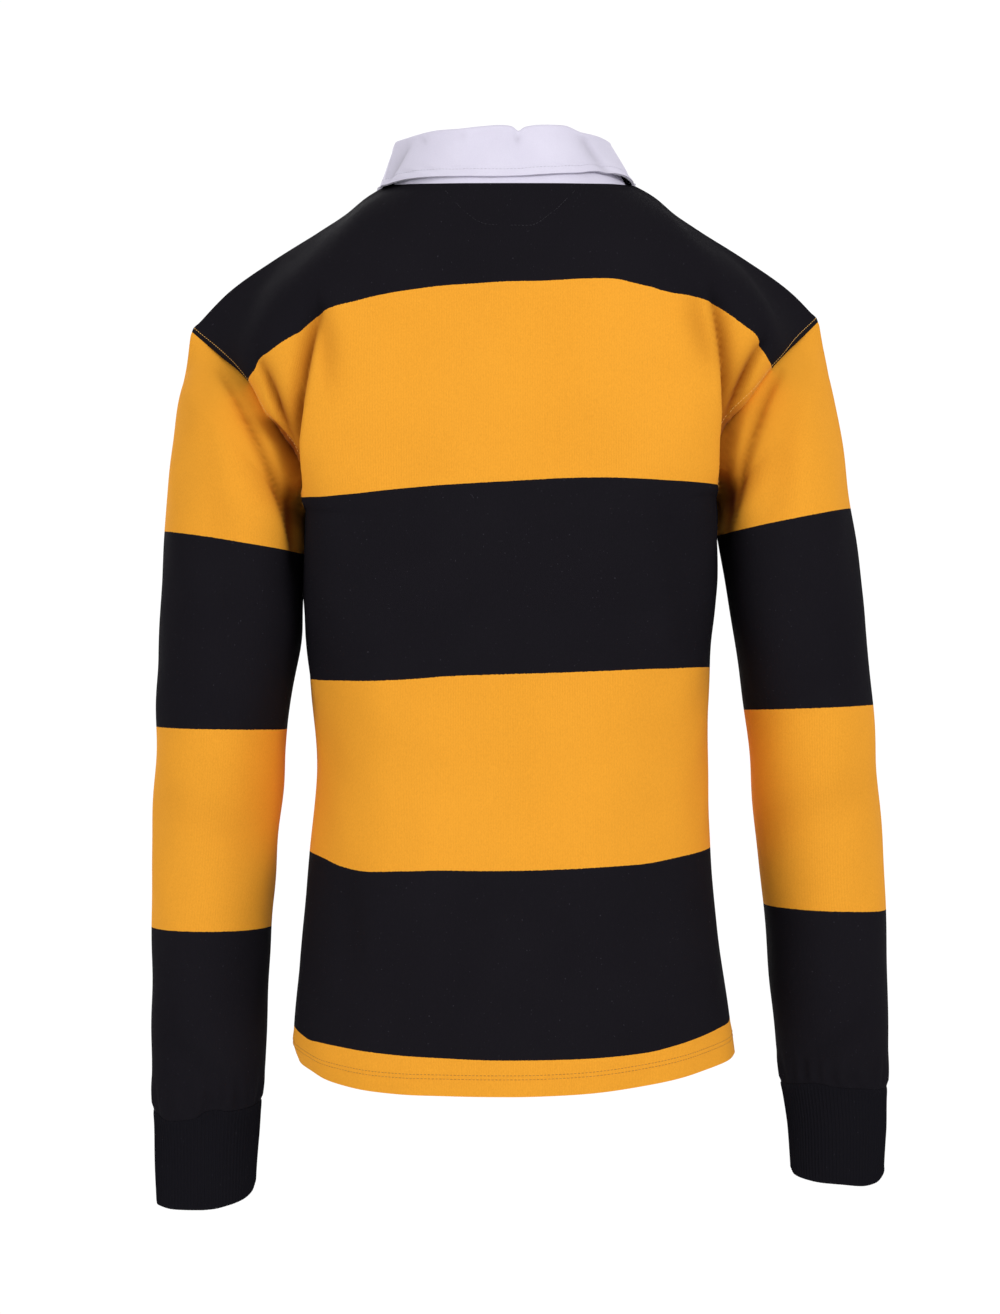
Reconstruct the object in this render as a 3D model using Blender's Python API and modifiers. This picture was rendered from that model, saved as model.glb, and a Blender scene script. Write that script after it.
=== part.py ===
"""Long-sleeved rugby shirt in hoops, filled out as it is worn, in its cut-and-sewn pieces.

Metres, +Z up. The wearer faces -Y and the wearer's left is +X. The origin lies between the two
points where the shoulder seams meet the neck. Every piece of cloth is a thin closed wall. Pieces
that are sewn together share the points of their seam, and each stops half a seam gap short of it.
"""

import math

import bpy
import numpy as np
from mathutils import Vector
from mathutils.bvhtree import BVHTree

# Cloth thickness and the gap that parts two sewn pieces.
JERSEY = 0.0012
TWILL = 0.0012
RIB_KNIT = 0.0022
SEAM_GAP = 0.0003
PULL_BACK = 0.6
MOST_MITRE = 1.6
MOST_PULL = 3.0

# Body.
CENTRE_X = -0.003
NECK_HALF = 0.0885
YOKE_START = 1.677
LEFT, RIGHT = 1, -1
BACK, FRONT = 1, -1

# Placket: a slot in the front, an under strip that fills it and an outer strip that laps over it.
SLOT_HALF = 0.016
SLOT_BOTTOM = -0.250
PLACKET_HALF = 0.0185
PLACKET_BOTTOM = -0.2545
PLACKET_TOP_DROP = 0.0022
STRIP_GAP = 0.00036
BUTTON_GAP = 0.00042

# Buttons.
BUTTON_RADIUS = 0.0075
BUTTON_HEIGHT = 0.0034
BUTTON_SIDES = 28
BUTTON_RIM = 0.0009
BUTTON_DROPS = (0.040, 0.088, 0.136)

# Collar.
ROLL_RADIUS = 0.0026
# How far the roll and the fall stand off to the wearer's left, at the sides of the neck.
ROLL_SHIFT = 0.0050
FALL_SHIFT = 0.0025
FALL_CLEARANCE = 0.0036
FALL_CLEARANCE_ON_PLACKET = 0.0050
PLACKET_ZONE = 0.028
STAND_STEPS = (0, 0.35, 0.7, 1)
ROLL_STEPS = (45, 90, 135, 180)
FALL_STEPS = (0.25, 0.5, 0.75, 1)
FALL_FIRST_ROW = len(STAND_STEPS) + len(ROLL_STEPS)

# Rib of the cuffs.
RIB_COUNT = 42
RIB_HEIGHT = 0.0005

# How finely the walls are divided, and the angle from which an edge counts as sharp.
SHARP = 50
SIDE_ROWS = 10
ARM_ROWS = 14
SHOULDER_COLUMNS = 10
NECK_COLUMNS = {BACK: 6, FRONT: 7}
SLEEVE_RINGS = (0, 0.5, 1, 1.5, 2, 3, 3.5, 4, 5, 6, 7, 8, 9, 9.5, 10)


def table(columns, rows):
    """A table of sizes as one array for each named column."""
    return dict(zip(columns.split(), np.array(rows, dtype=float).T))


# Rows of the body, from the hem (station 0) past the underarm (1) towards the shoulder (2).
# corner: how square the row turns at the side; fall: how late it drops towards its end, and skew:
# how much later on the wearer's left;
# tilt: how far the wearer's left end is lifted above the right one, in the middle stretch.
BACK_ROWS = table("station z_mid y_mid corner fall skew tilt", [
    (0.000, -0.6944, 0.1350, 2.30, 3.4, 0.50, 0.0000),
    (0.061, -0.6670, 0.1345, 2.30, 2.6, -0.20, -0.0005),
    (0.382, -0.5279, 0.1250, 2.35, 2.2, 0.00, -0.0035),
    (0.540, -0.4550, 0.1185, 2.40, 2.2, 0.00, -0.0060),
    (0.703, -0.3809, 0.1195, 2.80, 2.4, 0.00, -0.0080),
    (0.860, -0.3090, 0.1250, 3.50, 2.6, 0.00, -0.0080),
    (1.000, -0.2620, 0.1290, 4.60, 2.8, 0.00, -0.0090),
    (1.180, -0.2386, 0.1295, 3.50, 3.0, 0.00, -0.0090),
    (1.350, -0.1900, 0.1300, 3.10, 3.2, 0.00, -0.0100),
    (1.520, -0.1400, 0.1270, 3.00, 3.5, 0.00, -0.0110),
    (YOKE_START, -0.0915, 0.1190, 3.00, 3.9, 0.00, -0.0120),
])
FRONT_ROWS = table("station z_mid y_mid corner fall skew tilt", [
    (0.000, -0.6900, -0.1280, 2.30, 3.4, 0.50, 0.0000),
    (0.061, -0.6627, -0.1275, 2.30, 2.6, -0.20, -0.0005),
    (0.382, -0.5240, -0.1220, 2.35, 2.2, 0.00, -0.0035),
    (0.540, -0.4520, -0.1190, 2.40, 2.2, 0.00, -0.0060),
    (0.703, -0.3790, -0.1240, 2.60, 2.4, 0.00, -0.0080),
    (0.860, -0.3090, -0.1320, 3.10, 2.6, 0.00, -0.0080),
    (1.000, -0.2620, -0.1350, 4.00, 2.8, 0.00, -0.0090),
    (1.180, -0.2386, -0.1350, 3.10, 3.0, 0.00, -0.0090),
    (1.350, -0.1900, -0.1320, 2.80, 3.2, 0.00, -0.0100),
    (1.520, -0.1410, -0.1240, 2.60, 3.5, 0.00, -0.0110),
    (YOKE_START, -0.0975, -0.1080, 2.60, 3.9, 0.00, -0.0100),
])
ROWS = {BACK: BACK_ROWS, FRONT: FRONT_ROWS}

# Side seams, hem to underarm.
SIDE_SEAMS = {
    LEFT: table("station x z", [
        (0.000, 0.1661, -0.6755), (0.061, 0.1653, -0.6547), (0.221, 0.1587, -0.5850),
        (0.382, 0.1521, -0.5195), (0.540, 0.1466, -0.4550), (0.703, 0.1519, -0.3860),
        (0.860, 0.1556, -0.3160), (1.000, 0.1535, -0.2560),
    ]),
    RIGHT: table("station x z", [
        (0.000, -0.1778, -0.6755), (0.061, -0.1750, -0.6490), (0.221, -0.1654, -0.5835),
        (0.382, -0.1583, -0.5164), (0.540, -0.1560, -0.4500), (0.703, -0.1576, -0.3729),
        (0.860, -0.1620, -0.3060), (1.000, -0.1600, -0.2470),
    ]),
}

# Back half of each armhole, underarm to shoulder point. The front half mirrors it, cut deeper.
ARMHOLES = {
    LEFT: table("along x y z", [
        (0.00, 0.1535, 0.000, -0.2560), (0.14, 0.1570, 0.038, -0.2490), (0.28, 0.1590, 0.064, -0.2375),
        (0.42, 0.1665, 0.070, -0.2165), (0.56, 0.1795, 0.064, -0.1915), (0.68, 0.1962, 0.045, -0.1580),
        (0.84, 0.2210, 0.022, -0.1365), (1.00, 0.2450, 0.000, -0.1154),
    ]),
    RIGHT: table("along x y z", [
        (0.00, -0.1600, 0.000, -0.2470), (0.14, -0.1625, 0.038, -0.2400), (0.28, -0.1640, 0.064, -0.2280),
        (0.42, -0.1690, 0.070, -0.2050), (0.56, -0.1820, 0.064, -0.1770), (0.68, -0.2066, 0.045, -0.1429),
        (0.84, -0.2255, 0.022, -0.1255), (1.00, -0.2434, 0.000, -0.1077),
    ]),
}
FRONT_ARMHOLE_CUT = 0.006
FRONT_ARMHOLE_DEPTH = 0.95

# Shoulder seam, from the neck out, and the two halves of the neckline, from the centre out.
SHOULDER = table("half y z", [
    (NECK_HALF, 0.030, -0.0055), (0.1050, 0.026, -0.0135), (0.1250, 0.022, -0.0270),
    (0.1460, 0.018, -0.0395), (0.1836, 0.012, -0.0620), (0.2168, 0.008, -0.0848),
    (0.2480, 0.000, -0.1154),
])
NECKLINE = {
    BACK: table("along half y z", [
        (0.00, 0.0000, 0.0880, -0.0121), (0.30, 0.0320, 0.0845, -0.0117), (0.55, 0.0560, 0.0735, -0.0105),
        (0.80, 0.0765, 0.0530, -0.0080), (1.00, NECK_HALF, 0.0300, -0.0055),
    ]),
    FRONT: table("along half y z", [
        (0.000, 0.0000, -0.0930, -0.0780), (0.143, SLOT_HALF, -0.0922, -0.0755),
        (0.360, 0.0420, -0.0830, -0.0600), (0.550, 0.0640, -0.0640, -0.0400),
        (0.720, 0.0810, -0.0380, -0.0205), (0.860, 0.0905, -0.0040, -0.0065),
        (1.000, NECK_HALF, 0.0300, -0.0055),
    ]),
}
# How steeply a panel climbs as it reaches its top edge, in degrees, at the centre and on the shoulder,
# and how far its columns fan out from the neck there.
CLIMB = {BACK: (62, 22), FRONT: (50, -14)}
NECK_FAN = 0.3
FAN_COLUMNS = 4

# Sleeve rings, from just below the armhole to the cuff seam: outer and inner point, middle, half depth.
SLEEVES = {
    LEFT: table("along x_out z_out x_in z_in y_mid depth", [
        (0.050, 0.2560, -0.1650, 0.1588, -0.2640, 0.004, 0.076),
        (0.110, 0.2628, -0.2200, 0.1586, -0.2790, 0.006, 0.080),
        (0.165, 0.2665, -0.2723, 0.1588, -0.2960, 0.004, 0.080),
        (0.240, 0.2698, -0.3440, 0.1596, -0.3500, 0.000, 0.077),
        (0.320, 0.2745, -0.4236, 0.1720, -0.4256, -0.006, 0.071),
        (0.395, 0.2770, -0.5000, 0.1785, -0.5000, -0.014, 0.064),
        (0.475, 0.2777, -0.5804, 0.1845, -0.5763, -0.022, 0.057),
        (0.545, 0.2777, -0.6500, 0.1883, -0.6480, -0.028, 0.050),
        (0.595, 0.2785, -0.7020, 0.1908, -0.6980, -0.031, 0.042),
        (0.617, 0.2770, -0.7260, 0.1940, -0.7185, -0.032, 0.033),
    ]),
    RIGHT: table("along x_out z_out x_in z_in y_mid depth", [
        (0.050, -0.2535, -0.1600, -0.1655, -0.2550, 0.004, 0.076),
        (0.110, -0.2625, -0.2100, -0.1658, -0.2680, 0.006, 0.080),
        (0.165, -0.2687, -0.2543, -0.1672, -0.2820, 0.004, 0.080),
        (0.240, -0.2789, -0.3300, -0.1745, -0.3360, 0.000, 0.077),
        (0.320, -0.2858, -0.4064, -0.1850, -0.4103, -0.006, 0.071),
        (0.395, -0.2921, -0.4850, -0.1925, -0.4850, -0.014, 0.064),
        (0.475, -0.2976, -0.5632, -0.2000, -0.5587, -0.022, 0.057),
        (0.545, -0.2995, -0.6350, -0.2067, -0.6330, -0.028, 0.050),
        (0.595, -0.3005, -0.6860, -0.2135, -0.6835, -0.031, 0.042),
        (0.617, -0.2995, -0.7080, -0.2178, -0.7045, -0.032, 0.033),
    ]),
}
# Cuff rings, as lengths below the cuff seam.
CUFF_LENGTH = {LEFT: 0.0770, RIGHT: 0.0750}
CUFF_RINGS = table("along widen depth", [
    (0.00, 0.0000, 0.0330), (0.12, -0.0006, 0.0300), (1.00, -0.0020, 0.0265),
])

# Collar by turn, from the centre back (0) to the centre front (1).
COLLAR = table("turn stand lean drop flare sweep", [
    (0.00, 0.0423, 0.013, 0.0377, 0.0105, 0.000),
    (0.25, 0.0381, 0.012, 0.0330, 0.0105, 0.000),
    (0.40, 0.0345, 0.012, 0.0305, 0.0135, 0.000),
    (0.50, 0.0317, 0.011, 0.0280, 0.0160, 0.000),
    (0.65, 0.0300, 0.008, 0.0250, 0.0280, 0.000),
    (0.85, 0.0280, 0.006, 0.0500, 0.0280, 0.014),
    (1.00, 0.0260, 0.004, 0.0640, 0.0300, 0.046),
])

# A fold dies away towards the two ends of its line, and where the cloth turns off to the side.
FOLD_ENDS = (0.03, 0.94)
FOLD_TAPER = 0.6
FOLD_FACING = (0.15, 0.5)
FOLD_POINTS = 25

# Largest folds: centre line through three points seen from behind (x, z), half width,
# height (below zero a trough), and the face of the shirt that it lies on.
FOLDS = table("x0 z0 x1 z1 x2 z2 width height face", [
    (0.1847, -0.1464, 0.1740, -0.1782, 0.1640, -0.2070, 0.008, -0.005, BACK),
    (0.2203, -0.1495, 0.1900, -0.1950, 0.1750, -0.2600, 0.013, -0.006, BACK),
    (-0.1390, -0.0990, -0.1460, -0.1150, -0.1506, -0.1366, 0.012, -0.003, BACK),
    (-0.1900, -0.1328, -0.1760, -0.1692, -0.1690, -0.1987, 0.008, -0.005, BACK),
    (-0.2074, -0.1517, -0.1930, -0.1896, -0.1820, -0.2529, 0.013, -0.006, BACK),
    (0.1430, -0.1150, 0.1600, -0.1650, 0.1590, -0.2350, 0.008, -0.004, BACK),
    (-0.1560, -0.1030, -0.1680, -0.1500, -0.1650, -0.2300, 0.008, -0.004, BACK),
    (-0.1166, -0.2464, -0.1340, -0.3221, -0.1385, -0.3690, 0.016, -0.004, BACK),
    (0.1241, -0.5310, 0.1200, -0.5650, 0.1166, -0.6022, 0.016, -0.004, BACK),
    (0.1850, -0.1500, 0.1700, -0.1800, 0.1580, -0.2150, 0.012, -0.004, FRONT),
    (-0.1850, -0.1400, -0.1720, -0.1700, -0.1620, -0.2050, 0.012, -0.004, FRONT),
    (0.2203, -0.1600, 0.1980, -0.2100, 0.1850, -0.2700, 0.014, -0.006, FRONT),
    (-0.2150, -0.1600, -0.2000, -0.2050, -0.1900, -0.2650, 0.014, -0.006, FRONT),
    (0.1150, -0.3900, 0.1200, -0.4700, 0.1050, -0.5600, 0.018, -0.004, FRONT),
    (-0.1150, -0.4100, -0.1050, -0.5000, -0.1200, -0.6000, 0.018, -0.004, FRONT),
])


def level_slopes(knots, values):
    """Slopes at the knots that never let the curve swing past them."""
    shape = (-1,) + (1,) * (values.ndim - 1)
    steps = np.diff(values, axis=0) / np.diff(knots).reshape(shape)
    before, after = steps[:-1], steps[1:]
    total = before + after
    safe = np.where(np.abs(total) < 1e-12, 1, total)
    inner = np.where(before * after > 0, 2 * before * after / safe, 0)
    return np.concatenate([steps[:1], inner, steps[-1:]])


def smooth(knots, values, at):
    """Values at the places asked for, on a smooth curve through the knots."""
    values = np.asarray(values, dtype=float)
    at = np.asarray(at, dtype=float)
    slopes = level_slopes(knots, values)
    k = np.clip(np.searchsorted(knots, at, side="right") - 1, 0, len(knots) - 2)
    span = knots[k + 1] - knots[k]
    t = (at - knots[k]) / span
    if values.ndim > 1:
        t, span = t[..., None], span[..., None]
    return (
        (2 * t**3 - 3 * t**2 + 1) * values[k]
        + (t**3 - 2 * t**2 + t) * span * slopes[k]
        + (3 * t**2 - 2 * t**3) * values[k + 1]
        + (t**3 - t**2) * span * slopes[k + 1]
    )


def read(sizes, key, at, *names):
    """The named columns of a table at the places asked for, side by side."""
    return np.stack([smooth(sizes[key], sizes[name], at) for name in names], axis=-1)


def unit(vectors):
    lengths = np.linalg.norm(vectors, axis=-1, keepdims=True)
    return vectors / np.maximum(lengths, 1e-12)


def ease(t):
    t = np.clip(t, 0, 1)
    return t * t * (3 - 2 * t)


# ---------------------------------------------------------------------------------------------
# Seams


def armhole(side, face, along):
    """Points of one half of an armhole, from the underarm (0) to the shoulder point (1)."""
    points = read(ARMHOLES[side], "along", along, "x", "y", "z")
    if face == FRONT:
        points[..., 0] -= side * FRONT_ARMHOLE_CUT * np.sin(math.pi * np.asarray(along))
        points[..., 1] *= -FRONT_ARMHOLE_DEPTH
    return points


def panel_edge(side, face, station):
    """The side seam up to the underarm, and the armhole above it."""
    if station <= 1:
        x, z = read(SIDE_SEAMS[side], "station", station, "x", "z")
        return np.array([x, 0.0, z])
    return armhole(side, face, station - 1)


def shoulder(side, along):
    """Points of a shoulder seam, from the neck (0) to the shoulder point (1)."""
    along = np.asarray(along, dtype=float)
    tip = armhole(side, BACK, 1.0)
    half = NECK_HALF + (abs(tip[0] - CENTRE_X) - NECK_HALF) * along
    y, z = read(SHOULDER, "half", half, "y", "z").T
    points = np.stack([CENTRE_X + side * half, y, z], axis=-1)
    return points + (tip - points[-1]) * (along**4)[:, None]


def neckline(side, face, along):
    half, y, z = read(NECKLINE[face], "along", along, "half", "y", "z").T
    return np.stack([CENTRE_X + side * half, y, z], axis=-1)


def top_edge(side, face):
    """Neckline and shoulder seam of half a panel, with the climb of the cloth that reaches them."""
    neck_count = NECK_COLUMNS[face]
    neck = neckline(side, face, np.linspace(0, 1, neck_count + 1))
    points = np.concatenate([neck[:-1], shoulder(side, np.linspace(0, 1, SHOULDER_COLUMNS + 1))])
    centre_climb, shoulder_climb = np.radians(CLIMB[face])
    column = np.arange(len(points))
    climb = centre_climb + (shoulder_climb - centre_climb) * ease(column / neck_count)
    fan = NECK_FAN * ease(column / neck_count) * (1 - ease((column - neck_count) / FAN_COLUMNS))
    to_neck = -unit((points - np.array([CENTRE_X, 0, 0])) * np.array([1, 1, 0]))
    level = unit(np.array([0, -face, 0]) * (1 - fan)[:, None] + to_neck * fan[:, None])
    heading = level * np.cos(climb)[:, None] + np.array([0, 0, 1]) * np.sin(climb)[:, None]
    edge = unit(panel_edge(side, face, 2) - panel_edge(side, face, 1.95))
    to_edge = ease((column / column[-1] - 0.6) / 0.4)[:, None]
    return points, unit(heading * (1 - to_edge) + edge * to_edge)


# ---------------------------------------------------------------------------------------------
# Body panels


def row_spread(face, count, reach):
    """How far out each column of half a row lies, from the centre (0) to the edge (1)."""
    t = np.linspace(0, 1, count + 1)
    if face == BACK:
        return np.sin(t * math.pi / 2)
    first = SLOT_HALF / reach
    rest = np.clip((t - t[1]) / (1 - t[1]), 0, 1)
    return np.where(t < t[1], 0, first + (1 - first) * np.sin(rest * math.pi / 2))


def half_row(side, face, station):
    """One row of half a panel, from the centre to the side seam or armhole."""
    count = NECK_COLUMNS[face] + SHOULDER_COLUMNS
    edge = panel_edge(side, face, station)
    z_mid, y_mid, corner, fall, skew, tilt = read(
        ROWS[face], "station", station, "z_mid", "y_mid", "corner", "fall", "skew", "tilt"
    )
    reach = edge[0] - CENTRE_X
    out = row_spread(face, count, abs(reach))
    inward = np.maximum(1 - out**corner, 0) ** (1 / corner)
    dropped = out ** (fall * (1 + side * skew))
    return np.stack([
        CENTRE_X + reach * out,
        edge[1] + (y_mid - edge[1]) * inward,
        (z_mid + side * tilt * out) * (1 - dropped) + edge[2] * dropped,
    ], axis=-1)


def yoke_row(side, face, station):
    """One row between the yoke hoop and the shoulder, on curves that roll over the shoulder."""
    low = half_row(side, face, YOKE_START)
    rise = unit(low - half_row(side, face, YOKE_START - 0.01))
    top, heading = top_edge(side, face)
    length = np.linalg.norm(top - low, axis=-1, keepdims=True)
    t = (station - YOKE_START) / (2 - YOKE_START)
    row = (
        (2 * t**3 - 3 * t**2 + 1) * low
        + (t**3 - 2 * t**2 + t) * length * rise
        + (3 * t**2 - 2 * t**3) * top
        + (t**3 - t**2) * length * heading
    )
    to_edge = np.linspace(0, 1, len(row))[:, None] ** 6
    return row + (panel_edge(side, face, station) - row[-1]) * to_edge


def body_panel(face):
    """Middle surface of the back or the front: rows from hem to shoulder, columns from -X to +X."""
    side_part = np.linspace(0, 1, SIDE_ROWS + 1)
    arm_part = np.linspace(1, 2, ARM_ROWS + 1)[1:]
    rows = []
    for station in np.concatenate([side_part, arm_part]):
        build = half_row if station <= YOKE_START else yoke_row
        right = build(RIGHT, face, station)
        left = build(LEFT, face, station)
        rows.append(np.concatenate([right[:0:-1], left]))
    return np.array(rows)


# ---------------------------------------------------------------------------------------------
# Sleeves and cuffs


def armhole_ring(side):
    """The whole armhole: shoulder point, down the back, underarm, up the front."""
    down = armhole(side, BACK, np.linspace(1, 0, ARM_ROWS + 1))
    up = armhole(side, FRONT, np.linspace(0, 1, ARM_ROWS + 1))
    return np.concatenate([down[:-1], up[:-1]])


def sleeve_ring(side, k, count):
    sizes = {name: column[k] for name, column in SLEEVES[side].items()}
    turn = np.linspace(0, 2 * math.pi, count, endpoint=False)
    outer = np.array([sizes["x_out"], sizes["y_mid"], sizes["z_out"]])
    inner = np.array([sizes["x_in"], sizes["y_mid"], sizes["z_in"]])
    back = np.array([0, sizes["depth"], 0])
    middle, outward = (outer + inner) / 2, (outer - inner) / 2
    return middle + np.cos(turn)[:, None] * outward + np.sin(turn)[:, None] * back


def sleeve(side):
    """Middle surface of a sleeve: rings from the armhole to the cuff seam, round by the back."""
    start = armhole_ring(side)
    rings = [start] + [sleeve_ring(side, k, len(start)) for k in range(len(SLEEVES[side]["along"]))]
    knots = np.concatenate([[0], SLEEVES[side]["along"]])
    at = np.interp(SLEEVE_RINGS, np.arange(len(knots)), knots)
    return ring_curve(knots, rings, at)


def ring_curve(knots, rings, at):
    """Rings at the lengths asked for, on smooth curves through the rings given."""
    flat = np.array(rings).reshape(len(rings), -1)
    return smooth(knots, flat, at).reshape(len(at), -1, 3)


def cuff(side):
    """Middle surface of a cuff, from its seam with the sleeve down to its open end."""
    count = RIB_COUNT * 2
    seam = sleeve_ring(side, -1, count)
    middle = seam.mean(axis=0)
    down = np.array([0, 0, -1.0])
    rings = []
    for along, widen, depth in zip(*CUFF_RINGS.values()):
        ring = seam - middle
        ring[:, 1] *= depth / CUFF_RINGS["depth"][0]
        ring[:, [0, 2]] *= 1 + widen / np.linalg.norm(seam[0] - middle)
        rings.append(middle + ring + down * CUFF_LENGTH[side] * along)
    return np.array(rings)


# ---------------------------------------------------------------------------------------------
# Collar


def neck_ring():
    """The neck seam from the centre front, round by the wearer's right, the back and the left."""
    up = np.linspace(0, 1, NECK_COLUMNS[FRONT] + 1)
    over = np.linspace(0, 1, NECK_COLUMNS[BACK] + 1)
    return np.concatenate([
        neckline(RIGHT, FRONT, up), neckline(RIGHT, BACK, over[::-1])[1:],
        neckline(LEFT, BACK, over)[1:], neckline(LEFT, FRONT, up[::-1])[1:],
    ])


def collar():
    """Middle surface of the collar: up the stand, over the roll and down the fall."""
    seam = neck_ring()
    back_half = np.linspace(0, 0.5, NECK_COLUMNS[BACK] + 1)
    half = np.concatenate([back_half, np.linspace(0.5, 1, NECK_COLUMNS[FRONT] + 1)[1:]])
    turn = np.concatenate([half[::-1], half[1:]])
    side = np.concatenate([np.full(len(half) - 1, RIGHT), [0], np.full(len(half) - 1, LEFT)])
    sizes = read(COLLAR, "turn", turn, "stand", "lean", "drop", "flare", "sweep")
    stand, lean, drop, flare, sweep = sizes.T
    out = unit((seam - np.array([CENTRE_X, 0, 0])) * np.array([1, 0.9, 0]))
    up = np.array([0, 0, 1.0])
    aside = np.array([1.0, 0, 0])
    at_side = out[:, 0] ** 2
    rows = []
    for t in STAND_STEPS:
        shift = aside * (ROLL_SHIFT * t * at_side)[:, None]
        rows.append(seam + shift - out * (lean * t)[:, None] + up * (stand * t)[:, None])
    fold = rows[-1] + out * ROLL_RADIUS
    for angle in np.radians(ROLL_STEPS):
        rows.append(fold - out * ROLL_RADIUS * math.cos(angle) + up * ROLL_RADIUS * math.sin(angle))
    top = rows[-1]
    for t in FALL_STEPS:
        back_shift = (FALL_SHIFT - ROLL_SHIFT) * t * at_side
        spread = out * (flare * t)[:, None] + aside * (side * sweep * t + back_shift)[:, None]
        rows.append(top + spread - up * (drop * t)[:, None])
    return np.array(rows)


def clear_of_body(points, body, first_row):
    """Moves the fall of the collar out where it would come nearer to the body than its clearance."""
    for row in points[first_row:]:
        for k, point in enumerate(row):
            near, normal = nearest(body, point)
            on_placket = abs(point[0] - CENTRE_X) < PLACKET_ZONE and point[1] < 0
            clearance = FALL_CLEARANCE_ON_PLACKET if on_placket else FALL_CLEARANCE
            height = float(np.dot(point - near, normal))
            if height < clearance:
                row[k] = point + normal * (clearance - height)
    return points


def nearest(body, point):
    """The nearest place on the body's surface and the way out from it."""
    place, normal, _, _ = body.find_nearest(Vector(point))
    place, normal = np.array(place), np.array(normal)
    outward = place - np.array([CENTRE_X, 0, -0.25])
    return place, normal if np.dot(normal, outward) > 0 else -normal


# ---------------------------------------------------------------------------------------------
# Walls


def grid_faces(rows, columns, closed, keep=None):
    """Quads of a grid of points, row by row, leaving out the cells that keep refuses."""
    faces = []
    for i in range(rows - 1):
        for j in range(columns if closed else columns - 1):
            if keep is None or keep(i, j):
                k = (j + 1) % columns
                faces.append((i * columns + j, i * columns + k, (i + 1) * columns + k, (i + 1) * columns + j))
    return faces


def grid_normals(points, closed, outward_from):
    """The way out of a surface at each point of its grid, judged on its first two rows."""
    if closed:
        across = np.roll(points, -1, axis=1) - np.roll(points, 1, axis=1)
    else:
        across = np.gradient(points, axis=1)
    along = np.gradient(points, axis=0)
    normals = unit(np.cross(across, along))
    start = points[:2]
    middle = start.mean(axis=(0, 1)) if outward_from is None else np.array(outward_from)
    if np.sum(normals[:2] * (start - middle)) < 0:
        normals = -normals
    return normals


def share_seam_normals(sheets):
    """Gives the points that sewn sheets share one common way out, so that their edges are mitred."""
    shared = {}
    for sheet in sheets:
        for i, j in sheet["border"]:
            key = tuple(np.round(sheet["points"][i, j], 6))
            shared.setdefault(key, []).append((sheet, i, j))
    for members in shared.values():
        votes = {}
        for sheet, i, j in members:
            votes[sheet["garment_part"]] = votes.get(sheet["garment_part"], 0) + sheet["normals"][i, j]
        total = unit(sum(unit(vote) for vote in votes.values()))
        for sheet, i, j in members:
            sheet["mitre"][i, j] = total


def border(rows, columns, closed):
    """Grid places along the edges of a sheet."""
    places = [(i, j) for j in range(columns) for i in (0, rows - 1)]
    if not closed:
        places += [(i, j) for i in range(1, rows - 1) for j in (0, columns - 1)]
    return places


def new_sheet(name, points, half, garment_part, closed=False, outward_from=None):
    rows, columns, _ = points.shape
    return {
        "name": name, "points": points, "half": half, "garment_part": garment_part,
        "closed": closed, "from": outward_from,
        "border": border(rows, columns, closed), "pulled": [], "keep": None,
    }


def find_normals(sheets):
    for sheet in sheets:
        sheet["normals"] = grid_normals(sheet["points"], sheet["closed"], sheet["from"])
        sheet["mitre"] = sheet["normals"].copy()
    share_seam_normals(sheets)


def fold_heights(points, normals):
    """How far the folds lift each point: a soft ridge or trough along each centre line."""
    heights = np.zeros(points.shape[:2])
    t = np.linspace(0, 1, FOLD_POINTS)
    start, over = FOLD_ENDS
    least, most = FOLD_FACING
    for x0, z0, x1, z1, x2, z2, width, height, face in zip(*FOLDS.values()):
        line_x = (1 - t) ** 2 * x0 + 2 * t * (1 - t) * x1 + t**2 * x2
        line_z = (1 - t) ** 2 * z0 + 2 * t * (1 - t) * z1 + t**2 * z2
        away = np.hypot(points[..., 0, None] - line_x, points[..., 2, None] - line_z)
        nearest_t = t[away.argmin(axis=-1)]
        taper = np.sin(math.pi * (nearest_t * over + start)) ** FOLD_TAPER
        facing = ease((normals[..., 1] * face + least) / most)
        heights += height * taper * facing * np.exp(-((away.min(axis=-1) / width) ** 2))
    return heights


def pull_back(sheet):
    """Moves sewn edges half a seam gap in along the cloth."""
    points = sheet["points"]
    moved = points.copy()
    for edge in sheet["pulled"]:
        here, inside = {
            "first_row": (np.s_[0, :], np.s_[1, :]), "last_row": (np.s_[-1, :], np.s_[-2, :]),
            "first_column": (np.s_[:, 0], np.s_[:, 1]), "last_column": (np.s_[:, -1], np.s_[:, -2]),
        }[edge]
        straight = np.sum(sheet["mitre"][here] * sheet["normals"][here], axis=-1)
        reach = SEAM_GAP * PULL_BACK * np.clip(1 / np.maximum(straight, 1e-3), 1, MOST_PULL)
        moved[here] += unit(points[inside] - points[here]) * reach[:, None]
    return moved


def split_quads(faces, points):
    """Triangles of the quads, cut along their shorter diagonals, so that both sides of a wall match."""
    triangles = []
    for a, b, c, d in faces:
        if np.sum((points[a] - points[c]) ** 2) <= np.sum((points[b] - points[d]) ** 2):
            triangles += [(a, b, c), (a, c, d)]
        else:
            triangles += [(a, b, d), (b, c, d)]
    return triangles


def split_rims(rims, seam, count):
    """Triangles along the edges of a wall, cut the same way on both pieces that meet at a seam."""
    triangles = []
    for a, b in rims:
        if tuple(seam[a]) < tuple(seam[b]):
            triangles += [(b, a, b + count), (a, a + count, b + count)]
        else:
            triangles += [(b, a, a + count), (b, a + count, b + count)]
    return triangles


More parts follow.
